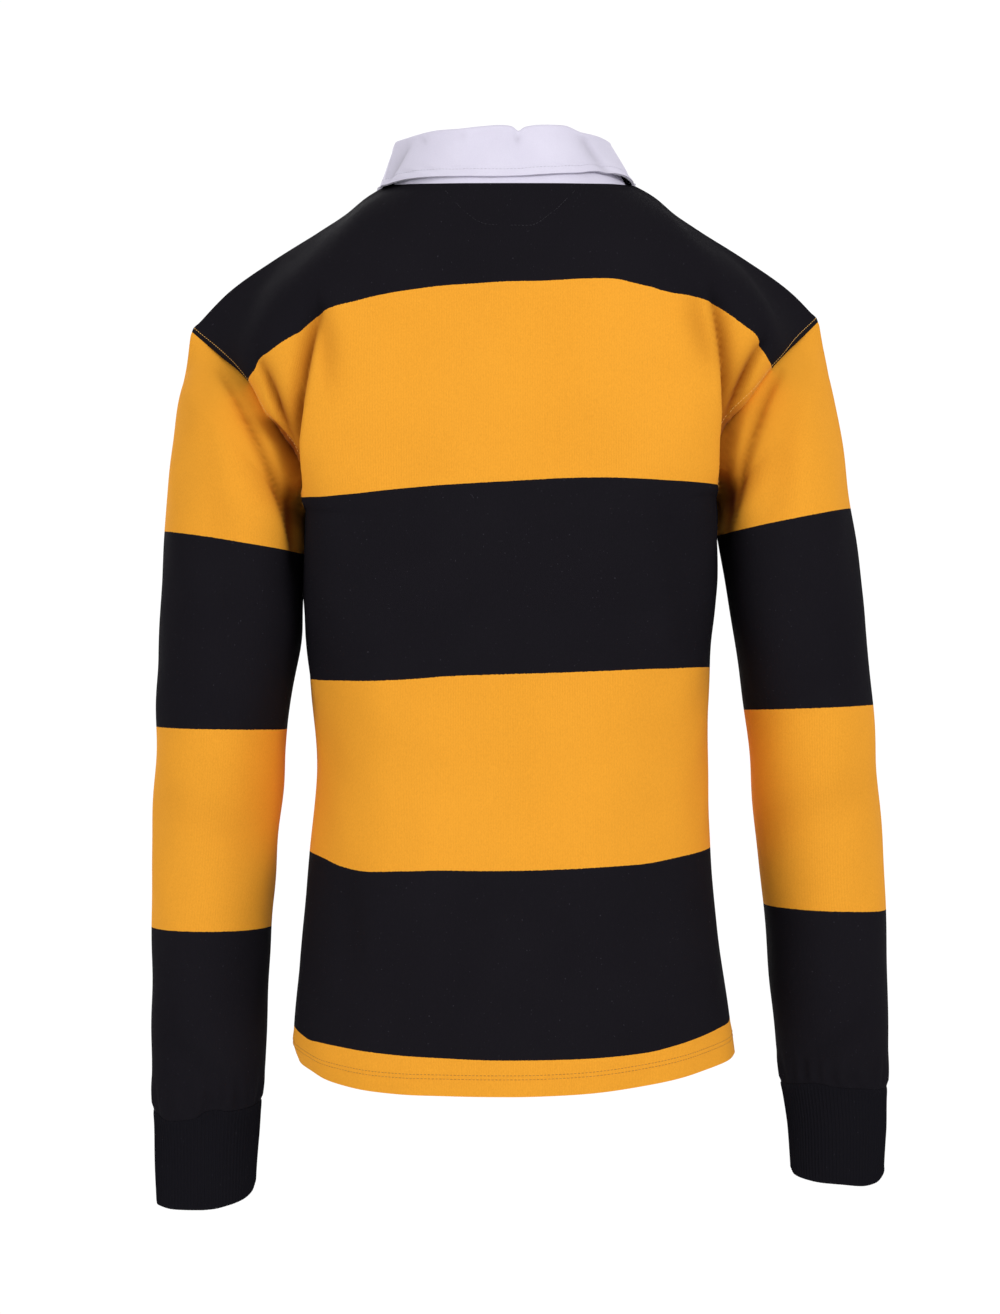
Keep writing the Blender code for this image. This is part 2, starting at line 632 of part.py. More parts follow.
def wall(sheet, ribs=None):
    """A closed mesh with one side half a thickness out of the sheet and the other half in."""
    points = pull_back(sheet)
    rows, columns, _ = points.shape
    straight = np.sum(sheet["mitre"] * sheet["normals"], axis=-1)
    reach = sheet["half"] * np.clip(1 / np.maximum(straight, 1e-3), 1, MOST_MITRE)
    lift = 0 if ribs is None else ribs
    outer = points + sheet["mitre"] * (reach + lift)[..., None]
    inner = points - sheet["mitre"] * reach[..., None]
    faces = grid_faces(rows, columns, sheet["closed"], sheet["keep"])
    across = points[0, 1] - points[0, 0]
    along = points[1, 0] - points[0, 0]
    if np.dot(np.cross(across, along), sheet["normals"][0, 0]) < 0:
        faces = [face[::-1] for face in faces]
    count = rows * columns
    edges = {(face[k], face[(k + 1) % 4]) for face in faces for k in range(4)}
    rims = sorted((a, b) for a, b in edges if (b, a) not in edges)
    outer_faces = split_quads(faces, points.reshape(-1, 3))
    inner_faces = [tuple(count + k for k in face[::-1]) for face in outer_faces]
    vertices = np.concatenate([outer.reshape(-1, 3), inner.reshape(-1, 3)])
    seam = np.round(sheet["points"].reshape(-1, 3), 6)
    return vertices, outer_faces + inner_faces + split_rims(rims, seam, count)


def add_cloth(name, vertices, faces, material, parts):
    used = sorted({k for face in faces for k in face})
    new_place = {old: new for new, old in enumerate(used)}
    mesh = bpy.data.meshes.new(name)
    mesh.from_pydata(vertices[used].tolist(), [], [[new_place[k] for k in face] for face in faces])
    mesh.materials.append(material)
    mesh.shade_smooth()
    mesh.set_sharp_from_angle(angle=math.radians(SHARP))
    parts.objects.link(bpy.data.objects.new(name, mesh))


# ---------------------------------------------------------------------------------------------
# Placket and buttons


def surface_tree(sheets):
    """The middle surfaces of some sheets as one tree for finding the nearest place on them."""
    vertices, faces = [], []
    for sheet in sheets:
        rows, columns, _ = sheet["points"].shape
        base = len(vertices)
        vertices += [Vector(point) for point in sheet["points"].reshape(-1, 3)]
        for a, b, c, d in grid_faces(rows, columns, sheet["closed"]):
            faces += [(base + a, base + b, base + c), (base + a, base + c, base + d)]
    return BVHTree.FromPolygons(vertices, faces)


def on_front(front, x, z):
    """The place on the front's middle surface straight behind (x, z), and the way out there."""
    place, normal, _, _ = front.ray_cast(Vector((x, -1, z)), Vector((0, 1, 0)))
    normal = np.array(normal)
    return np.array(place), normal if normal[1] < 0 else -normal


def across_row(sheet, row, x):
    """Places and ways out at the given X along a row of the front, also between two rows."""
    low = min(int(row), len(sheet["points"]) - 2)
    part = row - low
    found = []
    for key in ("points", "normals"):
        values = sheet[key][low] * (1 - part) + sheet[key][low + 1] * part
        line = sheet["points"][low] * (1 - part) + sheet["points"][low + 1] * part
        found.append(np.stack([np.interp(x, line[:, 0], values[:, k]) for k in range(3)], axis=-1))
    return found[0], unit(found[1])


def row_at_height(sheet, z):
    """The row of the front, in parts of a row, whose middle lies at a height."""
    middle = sheet["points"].shape[1] // 2
    return float(np.interp(z, sheet["points"][:, middle, 2], np.arange(len(sheet["points"]))))


def placket_outer(front, neck_z):
    """The outer strip, made from points of the front and moved out."""
    lift = (JERSEY + TWILL) / 2 + STRIP_GAP
    bottom = row_at_height(front, PLACKET_BOTTOM)
    top = row_at_height(front, neck_z - PLACKET_TOP_DROP)
    x = CENTRE_X + np.array([-PLACKET_HALF, -SLOT_HALF, 0, SLOT_HALF, PLACKET_HALF])
    levels = [bottom] + list(range(math.floor(bottom) + 1, math.ceil(top))) + [top]
    found = [across_row(front, level, x) for level in levels]
    points = np.array([place + normal * lift for place, normal in found])
    return points, np.array([normal for _, normal in found])


def placket_under(front, slot_row):
    """The under strip, made from the points of the front across its slot."""
    middle = front["points"].shape[1] // 2
    across = np.s_[slot_row:, middle - 1:middle + 2]
    strip = front["points"][across].copy()
    strip[:, 0, 0] += STRIP_GAP
    strip[:, 2, 0] -= STRIP_GAP
    return strip, front["normals"][across], front["mitre"][across]


def add_button(name, front, z, material, parts):
    """A rubber button: a disc with a rounded rim, flat on the outer strip."""
    place, normal = on_front(front, CENTRE_X, z)
    lift = JERSEY / 2 + TWILL + STRIP_GAP + BUTTON_GAP + BUTTON_HEIGHT / 2
    bpy.ops.mesh.primitive_cylinder_add(
        vertices=BUTTON_SIDES, radius=BUTTON_RADIUS, depth=BUTTON_HEIGHT, location=place + normal * lift,
        rotation=Vector(normal).to_track_quat("Z", "Y").to_euler(),
    )
    button = bpy.context.object
    button.name = name
    button.data.name = name
    button.data.materials.append(material)
    bevel = button.modifiers.new("rim", "BEVEL")
    bevel.width = BUTTON_RIM
    bevel.segments = 2
    bevel.limit_method = "ANGLE"
    for holder in list(button.users_collection):
        holder.objects.unlink(button)
    parts.objects.link(button)


# ---------------------------------------------------------------------------------------------
# Materials and assembly


def cloth_material(name, colour, roughness):
    material = bpy.data.materials.new(name)
    material.use_nodes = True
    shader = material.node_tree.nodes["Principled BSDF"]
    shader.inputs["Base Color"].default_value = (*colour, 1)
    shader.inputs["Roughness"].default_value = roughness
    shader.inputs["Metallic"].default_value = 0.0
    return material


def slot_opening(panel):
    """The first row and the columns of the front's cells that the slot leaves open."""
    middle = panel.shape[1] // 2
    first = int(np.argmax(panel[:, middle, 2] > SLOT_BOTTOM))
    return first, (middle - 1, middle)


def build_shirt():
    parts = bpy.data.collections.new("rugby_shirt")
    bpy.context.scene.collection.children.link(parts)
    gold = cloth_material("gold_jersey", (0.90, 0.38, 0.035), 0.85)
    black = cloth_material("black_jersey", (0.012, 0.011, 0.014), 0.85)
    white = cloth_material("white_twill", (0.80, 0.78, 0.86), 0.8)
    rubber = cloth_material("white_rubber", (0.80, 0.80, 0.80), 0.5)

    axis = (CENTRE_X, 0, -0.3)
    back = new_sheet("back_panel", body_panel(BACK), JERSEY / 2, "body", outward_from=axis)
    front = new_sheet("front_panel", body_panel(FRONT), JERSEY / 2, "body", outward_from=axis)
    sleeves = [
        new_sheet("sleeve_left", sleeve(LEFT), JERSEY / 2, "sleeve", closed=True),
        new_sheet("sleeve_right", sleeve(RIGHT), JERSEY / 2, "sleeve", closed=True),
    ]
    sewn = [back, front] + sleeves
    find_normals(sewn)
    for sheet in sewn:
        sheet["points"] += sheet["mitre"] * fold_heights(sheet["points"], sheet["mitre"])[..., None]

    cuffs = [
        new_sheet("cuff_left", cuff(LEFT), RIB_KNIT / 2, "cuff", closed=True),
        new_sheet("cuff_right", cuff(RIGHT), RIB_KNIT / 2, "cuff", closed=True),
    ]
    body = surface_tree([back, front])
    collar_points = clear_of_body(collar(), body, FALL_FIRST_ROW)
    fall = new_sheet("collar", collar_points, TWILL / 2, "collar")
    find_normals(sewn + cuffs + [fall])

    front_tree = surface_tree([front])
    neck_z = front["points"][-1, front["points"].shape[1] // 2, 2]
    slot_row, slot_columns = slot_opening(front["points"])
    front["keep"] = lambda i, j: not (i >= slot_row and j in slot_columns)
    outer_points, outer_normals = placket_outer(front, neck_z)
    outer = new_sheet("placket_outer", outer_points, TWILL / 2, "placket")
    outer["normals"] = outer["mitre"] = outer_normals
    under_points, under_normals, under_mitre = placket_under(front, slot_row)
    under = new_sheet("placket_under", under_points, TWILL / 2, "placket")
    under["normals"], under["mitre"] = under_normals, under_mitre

    for sheet in (back, front):
        sheet["pulled"] = ["first_column", "last_column", "last_row"]
    for sheet in sleeves:
        sheet["pulled"] = ["first_row", "last_row"]
    for sheet in cuffs:
        sheet["pulled"] = ["first_row"]
    fall["pulled"] = ["first_row", "first_column", "last_column"]
    under["pulled"] = ["first_row", "last_row"]

    for sheet in (back, front):
        add_cloth(sheet["name"], *wall(sheet), gold, parts)
    for sheet in sleeves:
        add_cloth(sheet["name"], *wall(sheet), gold, parts)
    for sheet in cuffs:
        rows, columns, _ = sheet["points"].shape
        ribs = np.tile((np.arange(columns) % 2) * RIB_HEIGHT, (rows, 1))
        add_cloth(sheet["name"], *wall(sheet, ribs), black, parts)
    for sheet in (fall, outer, under):
        add_cloth(sheet["name"], *wall(sheet), white, parts)
    for k, drop in enumerate(BUTTON_DROPS):
        add_button(f"button_{k + 1}", front_tree, neck_z - drop, rubber, parts)


for old in list(bpy.data.objects):
    bpy.data.objects.remove(old, do_unlink=True)
build_shirt()
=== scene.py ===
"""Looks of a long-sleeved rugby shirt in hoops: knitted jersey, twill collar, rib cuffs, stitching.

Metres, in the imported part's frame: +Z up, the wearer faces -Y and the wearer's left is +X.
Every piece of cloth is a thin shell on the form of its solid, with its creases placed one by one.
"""

import math

import bpy
import numpy as np
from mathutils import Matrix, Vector
from mathutils.bvhtree import BVHTree


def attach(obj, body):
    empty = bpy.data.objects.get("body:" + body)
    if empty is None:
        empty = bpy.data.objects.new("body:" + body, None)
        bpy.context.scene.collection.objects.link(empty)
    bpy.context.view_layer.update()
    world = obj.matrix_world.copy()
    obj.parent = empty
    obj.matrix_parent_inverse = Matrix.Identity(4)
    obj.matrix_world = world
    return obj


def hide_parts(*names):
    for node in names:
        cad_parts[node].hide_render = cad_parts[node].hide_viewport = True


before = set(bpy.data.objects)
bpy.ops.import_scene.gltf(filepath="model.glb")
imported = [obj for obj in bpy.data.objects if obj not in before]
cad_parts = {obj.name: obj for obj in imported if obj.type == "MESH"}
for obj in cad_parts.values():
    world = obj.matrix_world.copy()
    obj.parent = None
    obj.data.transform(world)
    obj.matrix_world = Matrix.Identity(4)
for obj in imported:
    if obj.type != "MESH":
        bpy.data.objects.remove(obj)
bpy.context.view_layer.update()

# The wearer's sides, the two faces of the shirt, and the ways across it and down.
LEFT, RIGHT = 1, -1
BACK, FRONT = 1, -1
ASIDE = np.array([1.0, 0, 0])
DOWN = np.array([0, 0, -1.0])

# Thickness of each cloth.
JERSEY = 0.0012
TWILL = 0.0012
RIB_KNIT = 0.0020
# Where the middle of the shirt lies, the middle of the trunk, and the middle of the chest.
CENTRE_X = -0.003
TRUNK_MIDDLE = (CENTRE_X, 0, -0.3)
CHEST_MIDDLE = (CENTRE_X, 0, -0.25)
# Half the width of the neck, and the station at which the yoke hoop starts.
NECK_HALF = 0.0885
YOKE_START = 1.677

# How finely the shells are divided: points for each step of the pattern.
FINE = 8
SIDE_ROWS = 76
ARM_ROWS = 84
SHOULDER_COLUMNS = 10 * FINE
NECK_COLUMNS = {BACK: 6 * FINE, FRONT: 7 * FINE}


def table(columns, rows):
    """A table of sizes as one array for each named column."""
    return dict(zip(columns.split(), np.array(rows, dtype=float).T))


# Rows of the body, from the hem (station 0) past the underarm (1) towards the shoulder (2).
# corner: how square the row turns at the side. fall: how late it drops towards its end. skew: how
# much later it does so on the wearer's left. tilt: how far the row rises towards the wearer's left
# and sinks towards the right before that drop.
BACK_ROWS = table("station z_mid y_mid corner fall skew tilt", [
    (0.000, -0.6944, 0.1350, 2.30, 3.6, 0.42, 0.0000),
    (0.061, -0.6670, 0.1345, 2.30, 2.6, -0.20, -0.0005),
    (0.382, -0.5279, 0.1250, 2.35, 2.2, 0.00, -0.0035),
    (0.540, -0.4550, 0.1185, 2.40, 2.2, 0.00, -0.0060),
    (0.703, -0.3809, 0.1195, 2.80, 2.4, 0.00, -0.0080),
    (0.860, -0.3090, 0.1250, 3.50, 2.6, 0.00, -0.0080),
    (1.000, -0.2620, 0.1290, 4.60, 2.8, 0.00, -0.0090),
    (1.180, -0.2386, 0.1295, 3.50, 3.0, 0.00, -0.0090),
    (1.350, -0.1900, 0.1300, 3.10, 3.2, 0.00, -0.0100),
    (1.520, -0.1400, 0.1270, 3.00, 3.5, 0.00, -0.0110),
    (YOKE_START, -0.0915, 0.1190, 3.00, 3.9, 0.00, -0.0120),
])
FRONT_ROWS = table("station z_mid y_mid corner fall skew tilt", [
    (0.000, -0.6900, -0.1280, 2.30, 3.4, 0.50, 0.0000),
    (0.061, -0.6627, -0.1275, 2.30, 2.6, -0.20, -0.0005),
    (0.382, -0.5240, -0.1220, 2.35, 2.2, 0.00, -0.0035),
    (0.540, -0.4520, -0.1190, 2.40, 2.2, 0.00, -0.0060),
    (0.703, -0.3790, -0.1240, 2.60, 2.4, 0.00, -0.0080),
    (0.860, -0.3090, -0.1320, 3.10, 2.6, 0.00, -0.0080),
    (1.000, -0.2620, -0.1350, 4.00, 2.8, 0.00, -0.0090),
    (1.180, -0.2386, -0.1350, 3.10, 3.0, 0.00, -0.0090),
    (1.350, -0.1900, -0.1320, 2.80, 3.2, 0.00, -0.0100),
    (1.520, -0.1410, -0.1240, 2.60, 3.5, 0.00, -0.0110),
    (YOKE_START, -0.0975, -0.1080, 2.60, 3.9, 0.00, -0.0100),
])
ROWS = {BACK: BACK_ROWS, FRONT: FRONT_ROWS}

# Side seams, hem to underarm.
SIDE_SEAMS = {
    LEFT: table("station x z", [
        (0.000, 0.1600, -0.6790), (0.030, 0.1646, -0.6660), (0.061, 0.1642, -0.6547),
        (0.221, 0.1576, -0.5850), (0.382, 0.1521, -0.5195), (0.540, 0.1466, -0.4550),
        (0.703, 0.1519, -0.3860), (0.860, 0.1556, -0.3160), (1.000, 0.1535, -0.2560),
    ]),
    RIGHT: table("station x z", [
        (0.000, -0.1768, -0.6755), (0.061, -0.1736, -0.6490), (0.221, -0.1642, -0.5835),
        (0.382, -0.1583, -0.5164), (0.540, -0.1560, -0.4500), (0.703, -0.1576, -0.3729),
        (0.860, -0.1632, -0.3060), (1.000, -0.1612, -0.2470),
    ]),
}

# Back half of each armhole, underarm to shoulder point. The front half mirrors it, cut deeper.
ARMHOLES = {
    LEFT: table("along x y z", [
        (0.00, 0.1535, 0.000, -0.2560), (0.14, 0.1570, 0.038, -0.2490),
        (0.28, 0.1590, 0.064, -0.2375), (0.42, 0.1665, 0.070, -0.2165),
        (0.56, 0.1795, 0.064, -0.1915), (0.68, 0.1962, 0.045, -0.1580),
        (0.84, 0.2210, 0.022, -0.1365), (1.00, 0.2450, 0.000, -0.1154),
    ]),
    RIGHT: table("along x y z", [
        (0.00, -0.1612, 0.000, -0.2470), (0.14, -0.1630, 0.038, -0.2400),
        (0.28, -0.1640, 0.064, -0.2280), (0.42, -0.1690, 0.070, -0.2050),
        (0.56, -0.1820, 0.064, -0.1770), (0.68, -0.2066, 0.045, -0.1429),
        (0.84, -0.2255, 0.022, -0.1255), (1.00, -0.2434, 0.000, -0.1077),
    ]),
}
FRONT_ARMHOLE_CUT = 0.006
FRONT_ARMHOLE_DEPTH = 0.95

# Shoulder seam, from the neck out, and the two halves of the neckline, from the centre out.
SHOULDER = table("half y z", [
    (NECK_HALF, 0.030, -0.0055), (0.1050, 0.026, -0.0135), (0.1250, 0.022, -0.0270),
    (0.1460, 0.018, -0.0395), (0.1836, 0.012, -0.0620), (0.2168, 0.008, -0.0848),
    (0.2480, 0.000, -0.1154),
])
SLOT_HALF = 0.016
NECKLINE = {
    BACK: table("along half y z", [
        (0.00, 0.0000, 0.0880, -0.0121), (0.30, 0.0320, 0.0845, -0.0117),
        (0.55, 0.0560, 0.0735, -0.0105), (0.80, 0.0765, 0.0530, -0.0080),
        (1.00, NECK_HALF, 0.0300, -0.0055),
    ]),
    FRONT: table("along half y z", [
        (0.000, 0.0000, -0.0930, -0.0780), (0.143, SLOT_HALF, -0.0922, -0.0755),
        (0.360, 0.0420, -0.0830, -0.0600), (0.550, 0.0640, -0.0640, -0.0400),
        (0.720, 0.0810, -0.0380, -0.0205), (0.860, 0.0905, -0.0040, -0.0065),
        (1.000, NECK_HALF, 0.0300, -0.0055),
    ]),
}
# How steeply a panel climbs as it reaches its top edge, in degrees, at the centre and on the
# shoulder, how much its columns fan out from the neck there, and over what part of the shoulder.
CLIMB = {BACK: (62, 22), FRONT: (50, -14)}
NECK_FAN = 0.3
FAN_REACH = 0.4
# From where along its top edge a panel climbs the way its armhole does, and how late along a row
# the cloth is drawn onto the armhole.
EDGE_START = 0.6
EDGE_HOLD = 6
# The short steps down a panel that give its slope at the yoke and at the shoulder point.
STATION_STEP = 0.01
POINT_STEP = 0.05

# Sleeve rings, from just below the armhole to the cuff seam: outer and inner point, middle, half
# depth, and how square the ring turns behind and inside (1 round, less is squarer).
SLEEVES = {
    LEFT: table("along x_out z_out x_in z_in y_mid depth square", [
        (0.050, 0.2520, -0.1650, 0.1556, -0.2610, 0.004, 0.075, 0.86),
        (0.110, 0.2602, -0.2200, 0.1562, -0.2745, 0.006, 0.080, 0.72),
        (0.165, 0.2656, -0.2723, 0.1568, -0.2895, 0.004, 0.080, 0.72),
        (0.240, 0.2686, -0.3440, 0.1592, -0.3480, 0.000, 0.077, 0.76),
        (0.320, 0.2724, -0.4236, 0.1720, -0.4256, -0.006, 0.071, 0.86),
        (0.395, 0.2762, -0.5000, 0.1785, -0.5000, -0.014, 0.064, 1.00),
        (0.475, 0.2777, -0.5810, 0.1845, -0.5805, -0.022, 0.057, 1.00),
        (0.545, 0.2777, -0.6500, 0.1883, -0.6490, -0.028, 0.050, 1.00),
        (0.595, 0.2785, -0.7020, 0.1908, -0.6980, -0.031, 0.042, 1.00),
        (0.617, 0.2770, -0.7260, 0.1940, -0.7185, -0.032, 0.033, 1.00),
    ]),
    RIGHT: table("along x_out z_out x_in z_in y_mid depth square", [
        (0.050, -0.2514, -0.1600, -0.1630, -0.2520, 0.004, 0.075, 0.86),
        (0.110, -0.2612, -0.2100, -0.1636, -0.2640, 0.006, 0.080, 0.72),
        (0.165, -0.2680, -0.2543, -0.1655, -0.2750, 0.004, 0.080, 0.72),
        (0.240, -0.2789, -0.3300, -0.1745, -0.3335, 0.000, 0.077, 0.76),
        (0.320, -0.2858, -0.4064, -0.1872, -0.4103, -0.006, 0.071, 0.86),
        (0.395, -0.2921, -0.4860, -0.1952, -0.4870, -0.014, 0.064, 1.00),
        (0.475, -0.2976, -0.5672, -0.2026, -0.5632, -0.022, 0.057, 1.00),
        (0.545, -0.2995, -0.6370, -0.2090, -0.6350, -0.028, 0.050, 1.00),
        (0.595, -0.3005, -0.6860, -0.2135, -0.6835, -0.031, 0.042, 1.00),
        (0.617, -0.2995, -0.7080, -0.2178, -0.7045, -0.032, 0.033, 1.00),
    ]),
}
CUFF_LENGTH = {LEFT: 0.0770, RIGHT: 0.0750}
CUFF_RINGS = {
    LEFT: table("along widen shift depth", [
        (0.00, 0.0000, 0.0000, 0.0330), (0.12, -0.0010, 0.0002, 0.0300),
        (0.50, -0.0027, 0.0008, 0.0280), (1.00, -0.0036, 0.0010, 0.0265),
    ]),
    RIGHT: table("along widen shift depth", [
        (0.00, 0.0000, 0.0000, 0.0330), (0.12, -0.0012, -0.0008, 0.0300),
        (0.50, -0.0031, -0.0027, 0.0280), (1.00, -0.0048, -0.0030, 0.0265),
    ]),
}

# Collar by turn, from the centre back (0) to the centre front (1).
COLLAR = table("turn stand lean drop flare sweep", [
    (0.00, 0.0423, 0.013, 0.0377, 0.0084, 0.000),
    (0.25, 0.0381, 0.012, 0.0330, 0.0078, 0.000),
    (0.40, 0.0345, 0.012, 0.0305, 0.0100, 0.000),
    (0.50, 0.0310, 0.011, 0.0310, 0.0136, 0.000),
    (0.65, 0.0295, 0.009, 0.0360, 0.0160, 0.000),
    (0.85, 0.0280, 0.006, 0.0500, 0.0260, 0.014),
    (1.00, 0.0260, 0.004, 0.0640, 0.0300, 0.046),
])
ROLL_RADIUS = 0.0026
# How far the roll and the fall stand off to the wearer's left, at the sides of the neck.
ROLL_SHIFT = 0.0060
FALL_SHIFT = 0.0023
# How far the fall stays clear of the body, and of the body where the placket lies on it.
FALL_CLEARANCE = 0.0018
FALL_CLEARANCE_ON_PLACKET = 0.0046
PLACKET_REACH = 0.028

# Hoops: the length of cloth up to each change of colour, and where it falls on the pattern.
BODY_HOOPS = table("station cloth", [
    (0.000, 0.0000), (0.061, 0.0277), (0.382, 0.1727), (0.703, 0.3177), (1.180, 0.4627),
    (YOKE_START, 0.6077), (2.000, 0.7120),
])
# How far each change of colour falls below its row of the back, across the shirt.
HOOP_STRAYS = table("across hem low middle high yoke", [
    (-0.2060, 0.0000, 0.0000, 0.0000, 0.0000, 0.0060),
    (-0.2020, 0.0000, 0.0000, 0.0000, 0.0000, 0.0062),
    (-0.1960, 0.0000, 0.0000, 0.0000, 0.0000, 0.0040),
    (-0.1890, 0.0000, 0.0000, 0.0000, 0.0000, 0.0018),
    (-0.1790, 0.0000, 0.0000, 0.0000, 0.0000, 0.0028),
    (-0.1700, 0.0022, 0.0000, 0.0034, 0.0070, 0.0022),
    (-0.1600, 0.0016, -0.0010, 0.0036, 0.0084, 0.0010),
    (-0.1455, 0.0016, -0.0006, 0.0034, 0.0100, 0.0020),
    (-0.1245, 0.0022, 0.0004, 0.0036, 0.0086, 0.0040),
    (-0.1070, 0.0028, 0.0014, 0.0030, 0.0056, 0.0024),
    (-0.0700, 0.0026, 0.0004, 0.0022, 0.0010, -0.0020),
    (-0.0330, 0.0026, -0.0002, 0.0014, -0.0006, -0.0020),
    (0.0045, 0.0026, -0.0006, 0.0006, -0.0006, -0.0030),
    (0.0420, 0.0024, -0.0010, 0.0000, -0.0006, -0.0032),
    (0.0795, 0.0028, 0.0014, 0.0006, 0.0004, -0.0024),
    (0.1100, 0.0031, 0.0046, 0.0006, 0.0036, -0.0024),
    (0.1245, 0.0032, 0.0036, 0.0004, 0.0056, -0.0034),
    (0.1400, 0.0034, 0.0000, 0.0004, 0.0082, -0.0045),
    (0.1480, 0.0036, -0.0010, 0.0000, 0.0076, -0.0026),
    (0.1560, 0.0030, -0.0010, 0.0000, 0.0070, 0.0000),
    (0.1650, 0.0014, 0.0000, 0.0000, 0.0040, -0.0006),
    (0.1760, 0.0000, 0.0000, 0.0000, 0.0020, -0.0021),
    (0.1860, 0.0000, 0.0000, 0.0000, 0.0020, -0.0050),
    (0.1900, 0.0000, 0.0000, 0.0000, 0.0020, -0.0010),
])
# The changes of colour down a sleeve, from the armhole to the cuff seam.
SLEEVE_HOOPS = (0.0, 0.165, 0.320, 0.475, 0.617)

# Creases: the curve from one point to another, drawn towards a third between them, seen from behind
# (x, z), the half widths of its flanks towards the middle of the body and away from it, its height
# (below zero a trough), how soft the flanks are (1 sharp, 2 round), how much shade is painted into
# the colour along it, and the face it lies on.
CREASE_SIZES = "x0 z0 x1 z1 x2 z2 inner outer height soft deepen face"
# Round the armholes, across body and sleeve: the edge that overhangs the underarm, and its creases.
ARM_CREASES = table(CREASE_SIZES, [
    (0.1395, -0.1053, 0.1522, -0.1454, 0.1581, -0.2, 0.0034, 0.0075, -0.009, 1.6, 0.85, BACK),
    (0.156, -0.17, 0.16, -0.21, 0.1566, -0.252, 0.002, 0.007, -0.013, 1.5, 0.9, BACK),
    (0.1885, -0.144, 0.1735, -0.178, 0.1655, -0.212, 0.0062, 0.0022, -0.008, 1.4, 0.9, BACK),
    (0.185, -0.187, 0.1726, -0.1945, 0.1585, -0.24, 0.0032, 0.0036, -0.008, 1.4, 0.96, BACK),
    (-0.153, -0.094, -0.1664, -0.141, -0.1664, -0.18, 0.0036, 0.0075, -0.008, 1.6, 0.85, BACK),
    (-0.166, -0.155, -0.1675, -0.2065, -0.162, -0.252, 0.0022, 0.0065, -0.012, 1.5, 0.92, BACK),
    (-0.1955, -0.13, -0.179, -0.16, -0.1705, -0.213, 0.0064, 0.0024, -0.009, 1.4, 0.97, BACK),
    (0.185, -0.15, 0.17, -0.18, 0.158, -0.215, 0.006, 0.004, -0.007, 1.5, 0.6, FRONT),
    (-0.185, -0.14, -0.172, -0.17, -0.162, -0.205, 0.006, 0.004, -0.007, 1.5, 0.6, FRONT),
])
# On the body alone.
BODY_CREASES = table(CREASE_SIZES, [
    (0.144, -0.102, 0.134, -0.12, 0.132, -0.17, 0.01, 0.006, -0.003, 2, 0.25, BACK),
    (-0.14, -0.096, -0.143, -0.12, -0.154, -0.15, 0.01, 0.006, -0.003, 2, 0.25, BACK),
    (-0.1166, -0.2464, -0.134, -0.3221, -0.1385, -0.369, 0.013, 0.017, -0.0034, 2, 0.1, BACK),
    (0.1241, -0.531, 0.12, -0.565, 0.1166, -0.6022, 0.012, 0.016, -0.0042, 2, 0.1, BACK),
    (0.13, -0.33, 0.123, -0.42, 0.129, -0.5, 0.02, 0.02, -0.0025, 2, 0.05, BACK),
    (-0.07, -0.52, -0.04, -0.59, -0.06, -0.65, 0.022, 0.022, -0.0018, 2, 0, BACK),
    (0.148, -0.125, 0.153, -0.17, 0.15, -0.225, 0.003, 0.008, -0.008, 1.6, 0.55, FRONT),
    (-0.15, -0.12, -0.156, -0.16, -0.154, -0.215, 0.003, 0.008, -0.008, 1.6, 0.55, FRONT),
    (0.115, -0.39, 0.12, -0.47, 0.105, -0.56, 0.016, 0.018, -0.0055, 1.8, 0.2, FRONT),
    (-0.115, -0.41, -0.105, -0.5, -0.12, -0.6, 0.018, 0.016, -0.0055, 1.8, 0.2, FRONT),
    (0.06, -0.13, 0.09, -0.19, 0.13, -0.23, 0.016, 0.018, -0.0042, 1.8, 0.22, FRONT),
    (-0.06, -0.135, -0.09, -0.19, -0.13, -0.225, 0.016, 0.018, -0.0042, 1.8, 0.22, FRONT),
])
